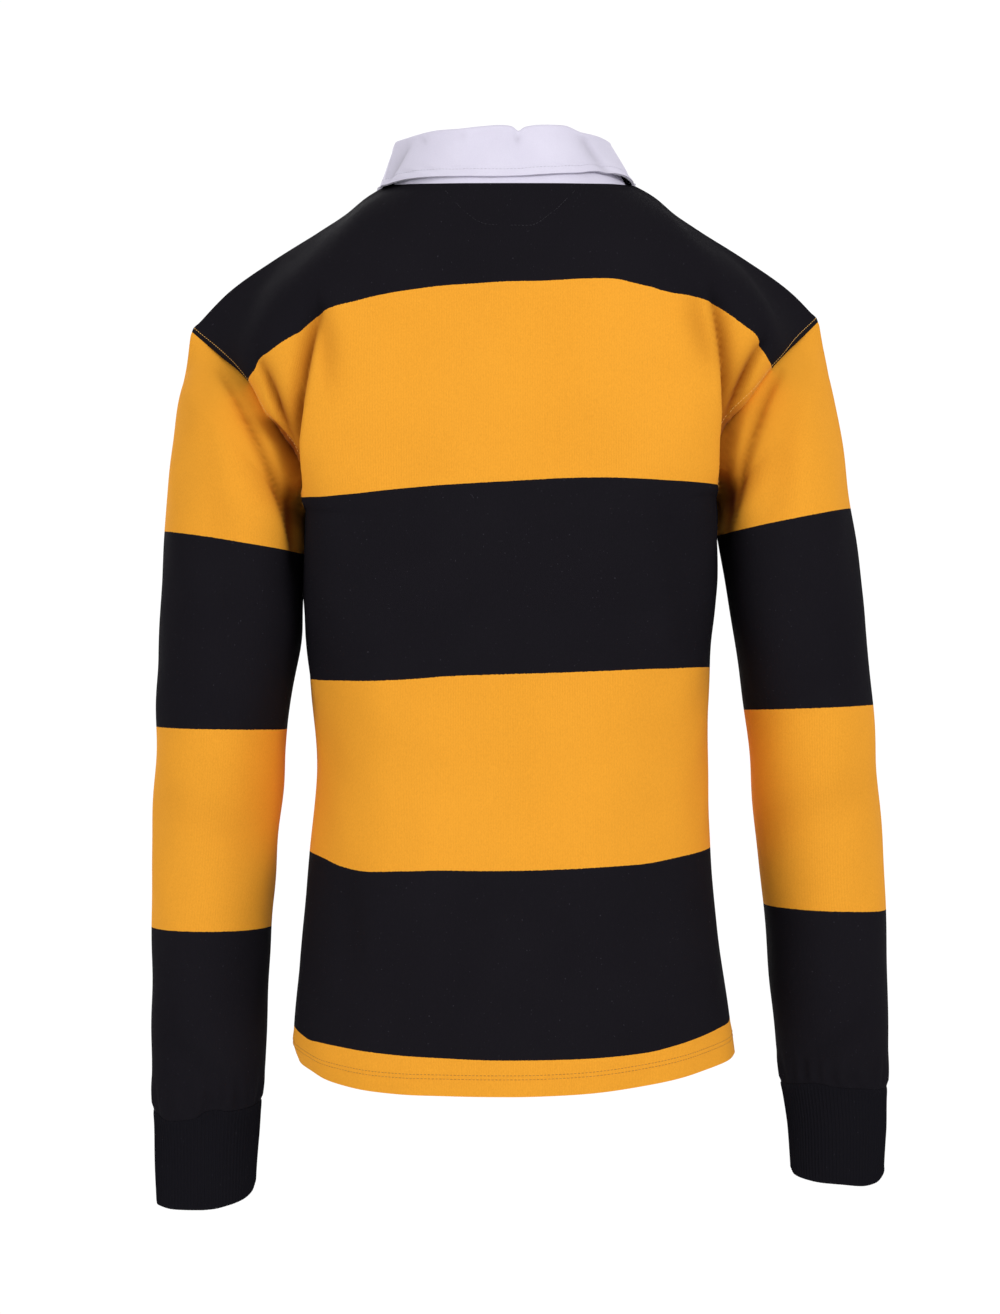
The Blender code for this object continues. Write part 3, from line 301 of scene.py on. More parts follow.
# On the sleeves alone: under the arm, at the elbow and on the forearm.
SLEEVE_CREASES = table(CREASE_SIZES, [
    (0.22, -0.15, 0.1811, -0.2076, 0.164, -0.278, 0.005, 0.0028, -0.005, 1.4, 0.5, BACK),
    (0.235, -0.15, 0.223, -0.23, 0.205, -0.33, 0.014, 0.016, -0.003, 2, 0.08, BACK),
    (0.166, -0.236, 0.164, -0.265, 0.16, -0.305, 0.006, 0.0034, -0.004, 1.7, 0.98, BACK),
    (-0.21, -0.15, -0.182, -0.2, -0.172, -0.27, 0.005, 0.0028, -0.005, 1.4, 0.5, BACK),
    (-0.224, -0.165, -0.208, -0.22, -0.19, -0.305, 0.012, 0.015, -0.0028, 2, 0.08, BACK),
    (-0.171, -0.22, -0.1685, -0.255, -0.1665, -0.295, 0.006, 0.0036, -0.004, 1.7, 0.98, BACK),
    (0.2203, -0.16, 0.198, -0.21, 0.175, -0.28, 0.009, 0.005, -0.007, 1.5, 0.45, FRONT),
    (-0.215, -0.16, -0.2, -0.205, -0.18, -0.275, 0.009, 0.005, -0.007, 1.5, 0.45, FRONT),
    (0.265, -0.36, 0.225, -0.41, 0.185, -0.435, 0.015, 0.015, -0.0022, 2, 0.06, BACK),
    (0.27, -0.47, 0.235, -0.5, 0.19, -0.505, 0.017, 0.017, -0.002, 2, 0.06, BACK),
    (-0.275, -0.35, -0.235, -0.4, -0.19, -0.42, 0.015, 0.015, -0.0022, 2, 0.06, BACK),
    (-0.285, -0.46, -0.245, -0.49, -0.2, -0.495, 0.017, 0.017, -0.002, 2, 0.06, BACK),
    (0.26, -0.39, 0.225, -0.43, 0.185, -0.45, 0.016, 0.016, -0.003, 2, 0.08, FRONT),
    (-0.27, -0.38, -0.235, -0.42, -0.195, -0.44, 0.016, 0.016, -0.003, 2, 0.08, FRONT),
    (0.265, -0.66, 0.24, -0.685, 0.21, -0.705, 0.009, 0.009, -0.0022, 2, 0.1, BACK),
    (-0.285, -0.645, -0.26, -0.67, -0.23, -0.69, 0.009, 0.009, -0.0022, 2, 0.1, BACK),
])
# On the fall of the collar.
COLLAR_CREASES = table(CREASE_SIZES, [
    (0.073, 0.0225, 0.0815, 0.0091, 0.09, -0.005, 0.0014, 0.0045, -0.002, 1.4, 0.35, BACK),
    (-0.057, 0.03, -0.066, 0.017, -0.083, -0.006, 0.006, 0.0016, -0.003, 1.5, 0.32, BACK),
    (0.066, 0.033, 0.064, 0.027, 0.061, 0.02, 0.002, 0.004, -0.0012, 1.6, 0.14, BACK),
    (0.033, 0.035, 0.034, 0.029, 0.033, 0.021, 0.0025, 0.004, -0.001, 1.6, 0.1, BACK),
    (-0.0091, 0.034, -0.0088, 0.026, -0.008, 0.019, 0.0016, 0.0022, -0.002, 1.4, 0.3, BACK),
])
# The points a crease is measured at, the part of a half wave it dies away over (how much of it, and
# from where), how bluntly it does so, and how far round from its face it reaches.
CREASE_POINTS = 33
CREASE_ENDS = (0.94, 0.03)
CREASE_TAPER = 0.6
CREASE_FACING = (0.10, 0.5)
# How far from a seam a sheet's own creases keep away.
CREASE_CLEAR = 0.006


def level_slopes(knots, values):
    """Slopes at the knots that never let the curve swing past them."""
    shape = (-1,) + (1,) * (values.ndim - 1)
    steps = np.diff(values, axis=0) / np.diff(knots).reshape(shape)
    before, after = steps[:-1], steps[1:]
    total = before + after
    safe = np.where(np.abs(total) < 1e-12, 1, total)
    inner = np.where(before * after > 0, 2 * before * after / safe, 0)
    return np.concatenate([steps[:1], inner, steps[-1:]])


def bend(t, span, start, leaving, end, arriving):
    """A smooth curve from start to end with the given slopes, at the part t of its span."""
    return (
        (2 * t**3 - 3 * t**2 + 1) * start
        + (t**3 - 2 * t**2 + t) * span * leaving
        + (3 * t**2 - 2 * t**3) * end
        + (t**3 - t**2) * span * arriving
    )


def smooth(knots, values, at):
    """Values at the places asked for, on a smooth curve through the knots."""
    values = np.asarray(values, dtype=float)
    at = np.asarray(at, dtype=float)
    slopes = level_slopes(knots, values)
    k = np.clip(np.searchsorted(knots, at, side="right") - 1, 0, len(knots) - 2)
    span = knots[k + 1] - knots[k]
    t = (at - knots[k]) / span
    if values.ndim > 1:
        t, span = t[..., None], span[..., None]
    return bend(t, span, values[k], slopes[k], values[k + 1], slopes[k + 1])


def read(sizes, key, at, *names):
    """The named columns of a table at the places asked for, side by side."""
    return np.stack([smooth(sizes[key], sizes[name], at) for name in names], axis=-1)


def unit(vectors):
    lengths = np.linalg.norm(vectors, axis=-1, keepdims=True)
    return vectors / np.maximum(lengths, 1e-12)


def ease(t):
    t = np.clip(t, 0, 1)
    return t * t * (3 - 2 * t)


def grow(distance, start, over):
    """0 before start, 1 past start + over, and a soft step between."""
    return ease((distance - start) / over)


def ridge(distance, width):
    """1 on a line, fading to 0 at about the width from it."""
    return np.exp(-((distance / width) ** 2))


def read_line(at, run, values):
    """Places or ways along a line, at the lengths asked for."""
    return np.stack([np.interp(at, run, values[:, n]) for n in range(3)], axis=-1)


def run_length(points, axis):
    """How far along the cloth each point lies from the start of its grid line."""
    steps = np.linalg.norm(np.diff(points, axis=axis), axis=-1)
    start = np.zeros_like(np.take(steps, [0], axis=axis))
    return np.concatenate([start, np.cumsum(steps, axis=axis)], axis=axis)


# ---------------------------------------------------------------------------------------------
# Pattern of the body


def armhole(side, face, along):
    """Points of one half of an armhole, from the underarm (0) to the shoulder point (1)."""
    points = read(ARMHOLES[side], "along", along, "x", "y", "z")
    if face == FRONT:
        points[..., 0] -= side * FRONT_ARMHOLE_CUT * np.sin(math.pi * np.asarray(along))
        points[..., 1] *= -FRONT_ARMHOLE_DEPTH
    return points


def panel_edge(side, face, station):
    """The side seam up to the underarm, and the armhole above it."""
    if station <= 1:
        x, z = read(SIDE_SEAMS[side], "station", station, "x", "z")
        return np.array([x, 0.0, z])
    return armhole(side, face, station - 1)


def shoulder(side, along):
    """Points of a shoulder seam, from the neck (0) to the shoulder point (1)."""
    along = np.asarray(along, dtype=float)
    tip = armhole(side, BACK, 1.0)
    half = NECK_HALF + (abs(tip[0] - CENTRE_X) - NECK_HALF) * along
    y, z = read(SHOULDER, "half", half, "y", "z").T
    points = np.stack([CENTRE_X + side * half, y, z], axis=-1)
    return points + (tip - points[-1]) * (along**4)[:, None]


def neckline(side, face, along):
    half, y, z = read(NECKLINE[face], "along", along, "half", "y", "z").T
    return np.stack([CENTRE_X + side * half, y, z], axis=-1)


def top_edge(side, face):
    """Neckline and shoulder seam of half a panel, with the climb of the cloth that reaches them."""
    neck_count = NECK_COLUMNS[face]
    neck = neckline(side, face, np.linspace(0, 1, neck_count + 1))
    points = np.concatenate([neck[:-1], shoulder(side, np.linspace(0, 1, SHOULDER_COLUMNS + 1))])
    centre_climb, shoulder_climb = np.radians(CLIMB[face])
    column = np.arange(len(points))
    climb = centre_climb + (shoulder_climb - centre_climb) * ease(column / neck_count)
    past_neck = (column - neck_count) / (FAN_REACH * SHOULDER_COLUMNS)
    fan = NECK_FAN * ease(column / neck_count) * (1 - ease(past_neck))
    to_neck = -unit((points - np.array([CENTRE_X, 0, 0])) * np.array([1, 1, 0]))
    level = unit(np.array([0, -face, 0]) * (1 - fan)[:, None] + to_neck * fan[:, None])
    heading = level * np.cos(climb)[:, None] + np.array([0, 0, 1]) * np.sin(climb)[:, None]
    edge = unit(panel_edge(side, face, 2) - panel_edge(side, face, 2 - POINT_STEP))
    to_edge = ease((column / column[-1] - EDGE_START) / (1 - EDGE_START))[:, None]
    return points, unit(heading * (1 - to_edge) + edge * to_edge)


def row_spread(face, count, reach):
    """How far out each column of half a row lies, from the centre (0) to the edge (1)."""
    t = np.linspace(0, 1, count + 1)
    if face == BACK:
        return np.sin(t * math.pi / 2)
    slot = FINE / count
    first = SLOT_HALF / reach
    rest = np.clip((t - slot) / (1 - slot), 0, 1)
    return np.where(t < slot, first * t / slot, first + (1 - first) * np.sin(rest * math.pi / 2))


def half_row(side, face, station):
    """One row of half a panel, from the centre to the side seam or armhole."""
    count = NECK_COLUMNS[face] + SHOULDER_COLUMNS
    edge = panel_edge(side, face, station)
    z_mid, y_mid, corner, fall, skew, tilt = read(
        ROWS[face], "station", station, "z_mid", "y_mid", "corner", "fall", "skew", "tilt"
    )
    reach = edge[0] - CENTRE_X
    out = row_spread(face, count, abs(reach))
    inward = np.maximum(1 - out**corner, 0) ** (1 / corner)
    dropped = out ** (fall * (1 + side * skew))
    return np.stack([
        CENTRE_X + reach * out,
        edge[1] + (y_mid - edge[1]) * inward,
        (z_mid + side * tilt * out) * (1 - dropped) + edge[2] * dropped,
    ], axis=-1)


def yoke_row(side, face, station):
    """One row between the yoke hoop and the shoulder, on curves that roll over the shoulder."""
    low = half_row(side, face, YOKE_START)
    rise = unit(low - half_row(side, face, YOKE_START - STATION_STEP))
    top, heading = top_edge(side, face)
    length = np.linalg.norm(top - low, axis=-1, keepdims=True)
    t = (station - YOKE_START) / (2 - YOKE_START)
    row = bend(t, length, low, rise, top, heading)
    to_edge = np.linspace(0, 1, len(row))[:, None] ** EDGE_HOLD
    return row + (panel_edge(side, face, station) - row[-1]) * to_edge


def body_stations():
    side_part = np.linspace(0, 1, SIDE_ROWS + 1)
    arm_part = np.linspace(1, 2, ARM_ROWS + 1)[1:]
    return np.concatenate([side_part, arm_part])


def body_panel(face):
    """Middle surface of the back or the front: rows from hem to shoulder, columns from -X to +X."""
    rows = []
    for station in body_stations():
        build = half_row if station <= YOKE_START else yoke_row
        right = build(RIGHT, face, station)
        left = build(LEFT, face, station)
        rows.append(np.concatenate([right[:0:-1], left]))
    return np.array(rows)


# ---------------------------------------------------------------------------------------------
# Pattern of the sleeves and cuffs


def armhole_ring(side):
    """The whole armhole: shoulder point, down the back, underarm, up the front."""
    down = armhole(side, BACK, np.linspace(1, 0, ARM_ROWS + 1))
    up = armhole(side, FRONT, np.linspace(0, 1, ARM_ROWS + 1))
    return np.concatenate([down[:-1], up[:-1]])


def sleeve_ring(side, k, count):
    sizes = {name: column[k] for name, column in SLEEVES[side].items()}
    turn = np.linspace(0, 2 * math.pi, count, endpoint=False)
    outer = np.array([sizes["x_out"], sizes["y_mid"], sizes["z_out"]])
    inner = np.array([sizes["x_in"], sizes["y_mid"], sizes["z_in"]])
    back = np.array([0, sizes["depth"], 0])
    middle, outward = (outer + inner) / 2, (outer - inner) / 2
    across, behind = np.cos(turn), np.sin(turn)
    corner = (across < 0) & (behind > 0)
    across[corner] = -np.abs(across[corner]) ** sizes["square"]
    behind[corner] = behind[corner] ** sizes["square"]
    return middle + across[:, None] * outward + behind[:, None] * back


def sleeve(side, at):
    """Middle surface of a sleeve: rings at these lengths from the armhole, round by the back."""
    start = armhole_ring(side)
    rings = [start] + [sleeve_ring(side, k, len(start)) for k in range(len(SLEEVES[side]["along"]))]
    knots = np.concatenate([[0], SLEEVES[side]["along"]])
    flat = np.array(rings).reshape(len(rings), -1)
    return smooth(knots, flat, at).reshape(len(at), -1, 3)


def cuff(side, turns, rings):
    """Middle surface of a cuff, from its seam with the sleeve down to its open end."""
    seam = sleeve_ring(side, -1, turns)
    middle = seam.mean(axis=0)
    half_width = np.linalg.norm(seam[0] - middle)
    rows = []
    for along in np.linspace(0, 1, rings):
        widen, shift, depth = read(CUFF_RINGS[side], "along", along, "widen", "shift", "depth")
        ring = seam - middle
        ring[:, 1] *= depth / CUFF_RINGS[side]["depth"][0]
        ring[:, [0, 2]] *= 1 + widen / half_width
        rows.append(middle + ring + ASIDE * shift + DOWN * CUFF_LENGTH[side] * along)
    return np.array(rows)


# ---------------------------------------------------------------------------------------------
# Pattern of the collar

STAND_ROWS = 10
ROLL_ROWS = 8
FALL_ROWS = 24
# Heights of the roll, with the notch where the neck tape is caught, and of the lower edge of the
# fall, both across the back. They give way to the table of the collar between these two turns.
ROLL_TOP = table("across z", [
    (-0.0833, 0.0250), (-0.0791, 0.0275), (-0.0759, 0.0288), (-0.0696, 0.0296), (-0.0572, 0.0300),
    (-0.0431, 0.0338), (-0.0250, 0.0334), (-0.0144, 0.0318), (-0.0091, 0.0286), (-0.0040, 0.0322),
    (0.0045, 0.0332), (0.0200, 0.0322), (0.0372, 0.0309), (0.0503, 0.0310), (0.0751, 0.0290),
    (0.0856, 0.0286),
])
FALL_EDGE = table("across z", [
    (-0.0979, -0.0028), (-0.0900, -0.0002), (-0.0716, 0.0004), (-0.0538, -0.0026),
    (0.0060, -0.0068), (0.0745, -0.0049), (0.0964, -0.0066),
])
BACK_TURNS = (0.46, 0.60)


def neck_ring():
    """The neck seam from the centre front, round by the wearer's right, the back and the left."""
    up = np.linspace(0, 1, NECK_COLUMNS[FRONT] + 1)
    over = np.linspace(0, 1, NECK_COLUMNS[BACK] + 1)
    return np.concatenate([
        neckline(RIGHT, FRONT, up), neckline(RIGHT, BACK, over[::-1])[1:],
        neckline(LEFT, BACK, over)[1:], neckline(LEFT, FRONT, up[::-1])[1:],
    ])


def height_at(edge, across):
    """The height of an edge at the places asked for across the shirt."""
    inside = np.clip(across, edge["across"][0], edge["across"][-1])
    return read(edge, "across", inside, "z")[..., 0]


def collar():
    """Middle surface of the collar: up the stand, over the roll and down the fall."""
    seam = neck_ring()
    back_half = np.linspace(0, 0.5, NECK_COLUMNS[BACK] + 1)
    half = np.concatenate([back_half, np.linspace(0.5, 1, NECK_COLUMNS[FRONT] + 1)[1:]])
    turn = np.concatenate([half[::-1], half[1:]])
    side = np.concatenate([np.full(len(half) - 1, RIGHT), [0], np.full(len(half) - 1, LEFT)])
    sizes = read(COLLAR, "turn", turn, "stand", "lean", "drop", "flare", "sweep")
    stand, lean, drop, flare, sweep = sizes.T
    out = unit((seam - np.array([CENTRE_X, 0, 0])) * np.array([1, 0.9, 0]))
    at_side = out[:, 0] ** 2
    behind = 1 - ease((turn - BACK_TURNS[0]) / (BACK_TURNS[1] - BACK_TURNS[0]))
    roll_x = seam[:, 0] - out[:, 0] * (lean - ROLL_RADIUS) + ROLL_SHIFT * at_side
    stand = stand + (height_at(ROLL_TOP, roll_x) - ROLL_RADIUS - seam[:, 2] - stand) * behind
    fall_x = roll_x + out[:, 0] * (ROLL_RADIUS + flare) + (FALL_SHIFT - ROLL_SHIFT) * at_side
    fold_z = seam[:, 2] + stand
    drop = drop + (fold_z - height_at(FALL_EDGE, fall_x) - drop) * behind
    rows = []
    for t in np.linspace(0, 1, STAND_ROWS + 1):
        shift = ASIDE * (ROLL_SHIFT * t * at_side)[:, None]
        rows.append(seam + shift - out * (lean * t)[:, None] - DOWN * (stand * t)[:, None])
    fold = rows[-1] + out * ROLL_RADIUS
    for angle in np.linspace(0, math.pi, ROLL_ROWS + 1)[1:]:
        aside, up = out * ROLL_RADIUS * math.cos(angle), DOWN * ROLL_RADIUS * math.sin(angle)
        rows.append(fold - aside - up)
    top = rows[-1]
    for t in np.linspace(0, 1, FALL_ROWS + 1)[1:]:
        back_shift = (FALL_SHIFT - ROLL_SHIFT) * t * at_side
        spread = out * (flare * t)[:, None] + ASIDE * (side * sweep * t + back_shift)[:, None]
        rows.append(top + spread + DOWN * (drop * t)[:, None])
    return np.array(rows)


def clear_of_body(points, body, first_row):
    """Moves the fall of the collar out to its clearance where it would come nearer to the body."""
    for row in points[first_row:]:
        for k, point in enumerate(row):
            near, normal = nearest(body, point)
            on_placket = abs(point[0] - CENTRE_X) < PLACKET_REACH and point[1] < 0
            clearance = FALL_CLEARANCE_ON_PLACKET if on_placket else FALL_CLEARANCE
            height = float(np.dot(point - near, normal))
            if height < clearance:
                row[k] = point + normal * (clearance - height)
    return points


def nearest(body, point):
    """The nearest place on the body's surface and the way out from it."""
    place, normal, _, _ = body.find_nearest(Vector(point))
    place, normal = np.array(place), np.array(normal)
    outward = place - np.array(CHEST_MIDDLE)
    return place, normal if np.dot(normal, outward) > 0 else -normal


# ---------------------------------------------------------------------------------------------
# Sheets, their creases and their walls

# How far from a sewn edge the two sheets keep turning into each other.
SEAM_BLEND = 0.010
# The swelling of the turned-in seam allowance, and the groove at the seam itself.
SEAM_RIDGE = 0.0007
SEAM_RIDGE_AT = 0.0042
SEAM_RIDGE_WIDTH = 0.0030
SEAM_GROOVE = 0.0007
BODY_GROOVE_WIDTH = 0.0014
SLEEVE_GROOVE_WIDTH = 0.0018
# Above this angle, in degrees, an edge of a wall stays sharp.
SHARP_EDGE = 60


def grid_normals(points, closed, outward_from):
    """The way out of a surface at each point of its grid, judged on its first two rows."""
    if closed:
        across = np.roll(points, -1, axis=1) - np.roll(points, 1, axis=1)
    else:
        across = np.gradient(points, axis=1)
    along = np.gradient(points, axis=0)
    normals = unit(np.cross(across, along))
    start = points[:2]
    middle = start.mean(axis=(0, 1)) if outward_from is None else np.array(outward_from)
    if np.sum(normals[:2] * (start - middle)) < 0:
        normals = -normals
    return normals


def new_sheet(points, half, closed=False, outward_from=None):
    """A sheet: its middle surface, half its thickness and the way out of it at each point."""
    normals = grid_normals(points, closed, outward_from)
    return {"points": points, "half": half, "closed": closed, "normals": normals}


def cloth_map(across, along):
    """Where each point lies on the flat cloth, in metres across and along it."""
    return np.stack(np.broadcast_arrays(across, along), axis=-1)


def share_seams(sheets):
    """Gives the points that sewn sheets share one way out, and lets it fade into each sheet."""
    shared = {}
    for sheet in sheets:
        rows, columns, _ = sheet["points"].shape
        edge = np.zeros((rows, columns), bool)
        edge[[0, -1], :] = True
        if not sheet["closed"]:
            edge[:, [0, -1]] = True
        sheet["edge"] = edge
        for i, j in np.argwhere(edge):
            key = tuple(np.round(sheet["points"][i, j], 6))
            shared.setdefault(key, []).append((sheet, i, j))
    for sheet in sheets:
        sheet["turned"] = sheet["normals"].copy()
    for members in shared.values():
        total = unit(sum(sheet["normals"][i, j] for sheet, i, j in members))
        for sheet, i, j in members:
            sheet["turned"][i, j] = total
    for sheet in sheets:
        fade_edges(sheet)


def fade_edges(sheet):
    points, plain = sheet["points"], sheet["normals"]
    turned = sheet["turned"].copy()
    change = np.zeros_like(turned)
    lines = [(0, 0), (0, -1)] + ([] if sheet["closed"] else [(1, 0), (1, -1)])
    sheet["from_edge"] = {}
    for axis, end in lines:
        length = run_length(points, axis)
        if end == -1:
            length = np.take(length, [-1], axis=axis) - length
        sheet["from_edge"][axis, end] = length
        edge_change = np.take(sheet["turned"] - plain, [end], axis=axis)
        change = change + edge_change * np.exp(-length / SEAM_BLEND)[..., None]
    inner = ~sheet["edge"]
    turned[inner] = unit(plain + change)[inner]
    sheet["turned"] = turned


def creases(points, normals, lines):
    """How far the creases lift each point of a sheet, and the shade painted into them."""
    heights = np.zeros(points.shape[:2])
    plain = np.ones(points.shape[:2])
    t = np.linspace(0, 1, CREASE_POINTS)
    over, start = CREASE_ENDS
    least, most = CREASE_FACING
    for x0, z0, x1, z1, x2, z2, inner, outer, height, soft, painted_shade, face in zip(*lines.values()):
        line_x = (1 - t) ** 2 * x0 + 2 * t * (1 - t) * x1 + t**2 * x2
        line_z = (1 - t) ** 2 * z0 + 2 * t * (1 - t) * z1 + t**2 * z2
        away = np.hypot(points[..., 0, None] - line_x, points[..., 2, None] - line_z)
        near = away.argmin(axis=-1)
        inside = np.abs(points[..., 0]) < np.abs(line_x[near])
        part = away.min(axis=-1) / np.where(inside, inner, outer)
        taper = np.sin(math.pi * (t[near] * over + start)) ** CREASE_TAPER
        taper = taper * ease((normals[..., 1] * face + least) / most)
        trough = np.exp(-(part**soft))
        heights += height * taper * trough
        # Painted shade: the colour darkens along the trough, where shade would fall.
        plain *= 1 - painted_shade * taper * trough
    return heights, 1 - plain


# The waves of a sheet's unevenness: how many, which way they lean, and their shortest and longest.
DRAPE_WAVES = 9
DRAPE_WAYS = np.array([1.4, 1.0, 0.6])
DRAPE_LENGTHS = (0.035, 0.11)


def drape(points, size, seed):
    """The faint unevenness of hanging cloth, as a sum of a few long waves."""
    waves = np.random.default_rng(seed)
    total = np.zeros(points.shape[:2])
    for _ in range(DRAPE_WAVES):
        way = unit(waves.normal(size=3) * DRAPE_WAYS)
        length = waves.uniform(*DRAPE_LENGTHS)
        total += np.sin(points @ way * 2 * math.pi / length + waves.uniform(0, 2 * math.pi))
    return total * size / 3


def grid_quads(rows, columns, closed, keep=None):
    """Quads of a grid of points, row by row, leaving out the cells that keep refuses."""
    cells_across = np.arange(columns if closed else columns - 1)
    i, j = np.meshgrid(np.arange(rows - 1), cells_across, indexing="ij")
    if keep is not None:
        kept = keep(i, j)
        i, j = i[kept], j[kept]
    i, j = i.ravel(), j.ravel()
    k = (j + 1) % columns
    row, next_row = i * columns, (i + 1) * columns
    return np.stack([row + j, row + k, next_row + k, next_row + j], axis=-1)


def outside(sheet, lift=0):
    """The outer side of a sheet's wall."""
    half = np.broadcast_to(sheet["half"], sheet["points"].shape[:2])
    return sheet["points"] + sheet["turned"] * (half + lift)[..., None]


def wall(sheet, lift=0):
    """A closed shell with one side half a thickness out of the sheet and the other half in."""
    points = sheet["points"]
    rows, columns, _ = points.shape
    half = np.broadcast_to(sheet["half"], (rows, columns))
    outer = outside(sheet, lift)
    inner = points - sheet["turned"] * half[..., None]
    quads = grid_quads(rows, columns, sheet["closed"], sheet.get("keep"))
    first = quads[len(quads) // 2]
    a, b, c = (points.reshape(-1, 3)[first[k]] for k in (0, 1, 3))
    if np.dot(np.cross(b - a, c - a), sheet["normals"].reshape(-1, 3)[first[0]]) < 0:
        quads = quads[:, ::-1]
    count = rows * columns
    edges = np.concatenate([quads[:, [k, (k + 1) % 4]] for k in range(4)])
    forward = edges[:, 0] * count + edges[:, 1]
    backward = edges[:, 1] * count + edges[:, 0]
    a, b = edges[~np.isin(forward, backward)].T
    rims = np.stack([b, a, a + count, b + count], axis=-1)
    faces = np.concatenate([quads, quads[:, ::-1] + count, rims])
    return np.concatenate([outer.reshape(-1, 3), inner.reshape(-1, 3)]), faces


def new_piece(name, mesh, material):
    """Makes a mesh an object of the shirt, which rides on its one body."""
    mesh.materials.append(material)
    mesh.shade_smooth()
    piece = bpy.data.objects.new(name, mesh)
    bpy.context.scene.collection.objects.link(piece)
    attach(piece, "root")
    return piece


def sew(name, sheet, material, lift=0):
    """Makes a sheet's shell an object, with a UV map in metres of cloth, its hoops and painted
    shade.
    """
    vertices, faces = wall(sheet, lift)
    used = np.unique(faces)
    place = np.zeros(len(vertices), int)
    place[used] = np.arange(len(used))
    mesh = bpy.data.meshes.new(name)
    mesh.from_pydata(vertices[used].tolist(), [], place[faces].tolist())
    both = np.concatenate([sheet["cloth"].reshape(-1, 2)] * 2)[used]
    corner = np.zeros(len(mesh.loops), int)
    mesh.loops.foreach_get("vertex_index", corner)
    mesh.uv_layers.new(name="cloth").data.foreach_set("uv", both[corner].astype(np.float32).ravel())
    # The hoops, and the shade painted into the creases, go on the mesh as attributes.
    for attribute in ("hoop", "fold"):
        if attribute in sheet:
            values = np.concatenate([sheet[attribute].ravel()] * 2)[used].astype(np.float32)
            mesh.attributes.new(attribute, "FLOAT", "POINT").data.foreach_set("value", values)
    piece = new_piece(name, mesh, material)
    mesh.set_sharp_from_angle(angle=math.radians(SHARP_EDGE))
    return piece


# ---------------------------------------------------------------------------------------------
# Materials

# Colours: each cloth, its uneven part and the painted shade it darkens to in a crease.
GOLD = (0.832, 0.355, 0.0320)
GOLD_DEEP = (0.705, 0.286, 0.0225)
GOLD_PAINTED_SHADE = (0.200, 0.034, 0.0015)
BLACK = (0.0082, 0.0073, 0.0098)
BLACK_PAINTED_SHADE = (0.0030, 0.0026, 0.0034)
RIB_BLACK = (0.0068, 0.0064, 0.0088)
LINT = (0.060, 0.057, 0.070)
WHITE = (0.700, 0.670, 0.790)
WHITE_SHADE = (0.620, 0.590, 0.710)
WHITE_PAINTED_SHADE = (0.270, 0.255, 0.300)
RUBBER = ((0.62, 0.60, 0.60), (0.74, 0.72, 0.73))
FLOOR = ((0.80, 0.80, 0.80), (0.84, 0.84, 0.84))
# Width and height of one loop of the knitting, and the step of the twill's lines.
WALE = 0.00125
COURSE = 0.00090
TWILL_LINE = 0.0010


class Recipe:
    """A material under construction: its nodes, and short ways to add and join them."""

    def __init__(self, name, roughness, sheen=0.0, shine=0.10):
        self.material = bpy.data.materials.new(name)
        self.material.use_nodes = True
        self.nodes = self.material.node_tree.nodes
        self.links = self.material.node_tree.links
        self.shader = self.nodes["Principled BSDF"]
        self.shader.inputs["Roughness"].default_value = roughness
        self.shader.inputs["Sheen Weight"].default_value = sheen
        self.shader.inputs["Sheen Roughness"].default_value = 0.45
        self.shader.inputs["Specular IOR Level"].default_value = shine

    def put(self, value, socket):
        if isinstance(value, (int, float)):
            socket.default_value = value
        elif isinstance(value, tuple):
            socket.default_value = (*value, 1)
        else:
            self.links.new(value, socket)

    def maths(self, operation, a, b=0.0, c=0.0):
        node = self.nodes.new("ShaderNodeMath")
        node.operation = operation
        for value, socket in zip((a, b, c), node.inputs):
            self.put(value, socket)
        return node.outputs[0]

    def blend(self, part, a, b):
        node = self.nodes.new("ShaderNodeMix")
        node.data_type = "RGBA"
        self.put(part, node.inputs["Factor"])
        self.put(a, node.inputs["A"])
        self.put(b, node.inputs["B"])
        return node.outputs["Result"]

    def cloth(self):
        """The two coordinates of the cloth, in metres across and along it."""
        uv = self.nodes.new("ShaderNodeUVMap")
        uv.uv_map = "cloth"
        parts = self.nodes.new("ShaderNodeSeparateXYZ")
        self.links.new(uv.outputs["UV"], parts.inputs[0])
        return parts.outputs["X"], parts.outputs["Y"]

    def attribute(self, name):
        node = self.nodes.new("ShaderNodeAttribute")
        node.attribute_name = name
        return node.outputs["Fac"]

    def noise(self, scale, detail=2.0, stretch=(1, 1, 1)):
        where = self.nodes.new("ShaderNodeTexCoord")
        turn = self.nodes.new("ShaderNodeMapping")
        turn.inputs["Scale"].default_value = stretch
        noise = self.nodes.new("ShaderNodeTexNoise")
        noise.inputs["Scale"].default_value = scale
        noise.inputs["Detail"].default_value = detail
        self.links.new(where.outputs["Object"], turn.inputs["Vector"])
        self.links.new(turn.outputs["Vector"], noise.inputs["Vector"])
        return noise.outputs["Fac"]

    def spread(self, value, low, high):
        """Stretches the part of a value between low and high over 0 to 1."""
        node = self.nodes.new("ShaderNodeMapRange")
        node.clamp = True
        self.put(value, node.inputs["Value"])
        node.inputs["From Min"].default_value = low
        node.inputs["From Max"].default_value = high
        return node.outputs["Result"]

    def relief(self, height, strength, distance):
        bump = self.nodes.new("ShaderNodeBump")
        bump.inputs["Strength"].default_value = strength
        bump.inputs["Distance"].default_value = distance
        self.links.new(height, bump.inputs["Height"])
        self.links.new(bump.outputs["Normal"], self.shader.inputs["Normal"])

    def colour(self, value):
        self.put(value, self.shader.inputs["Base Color"])


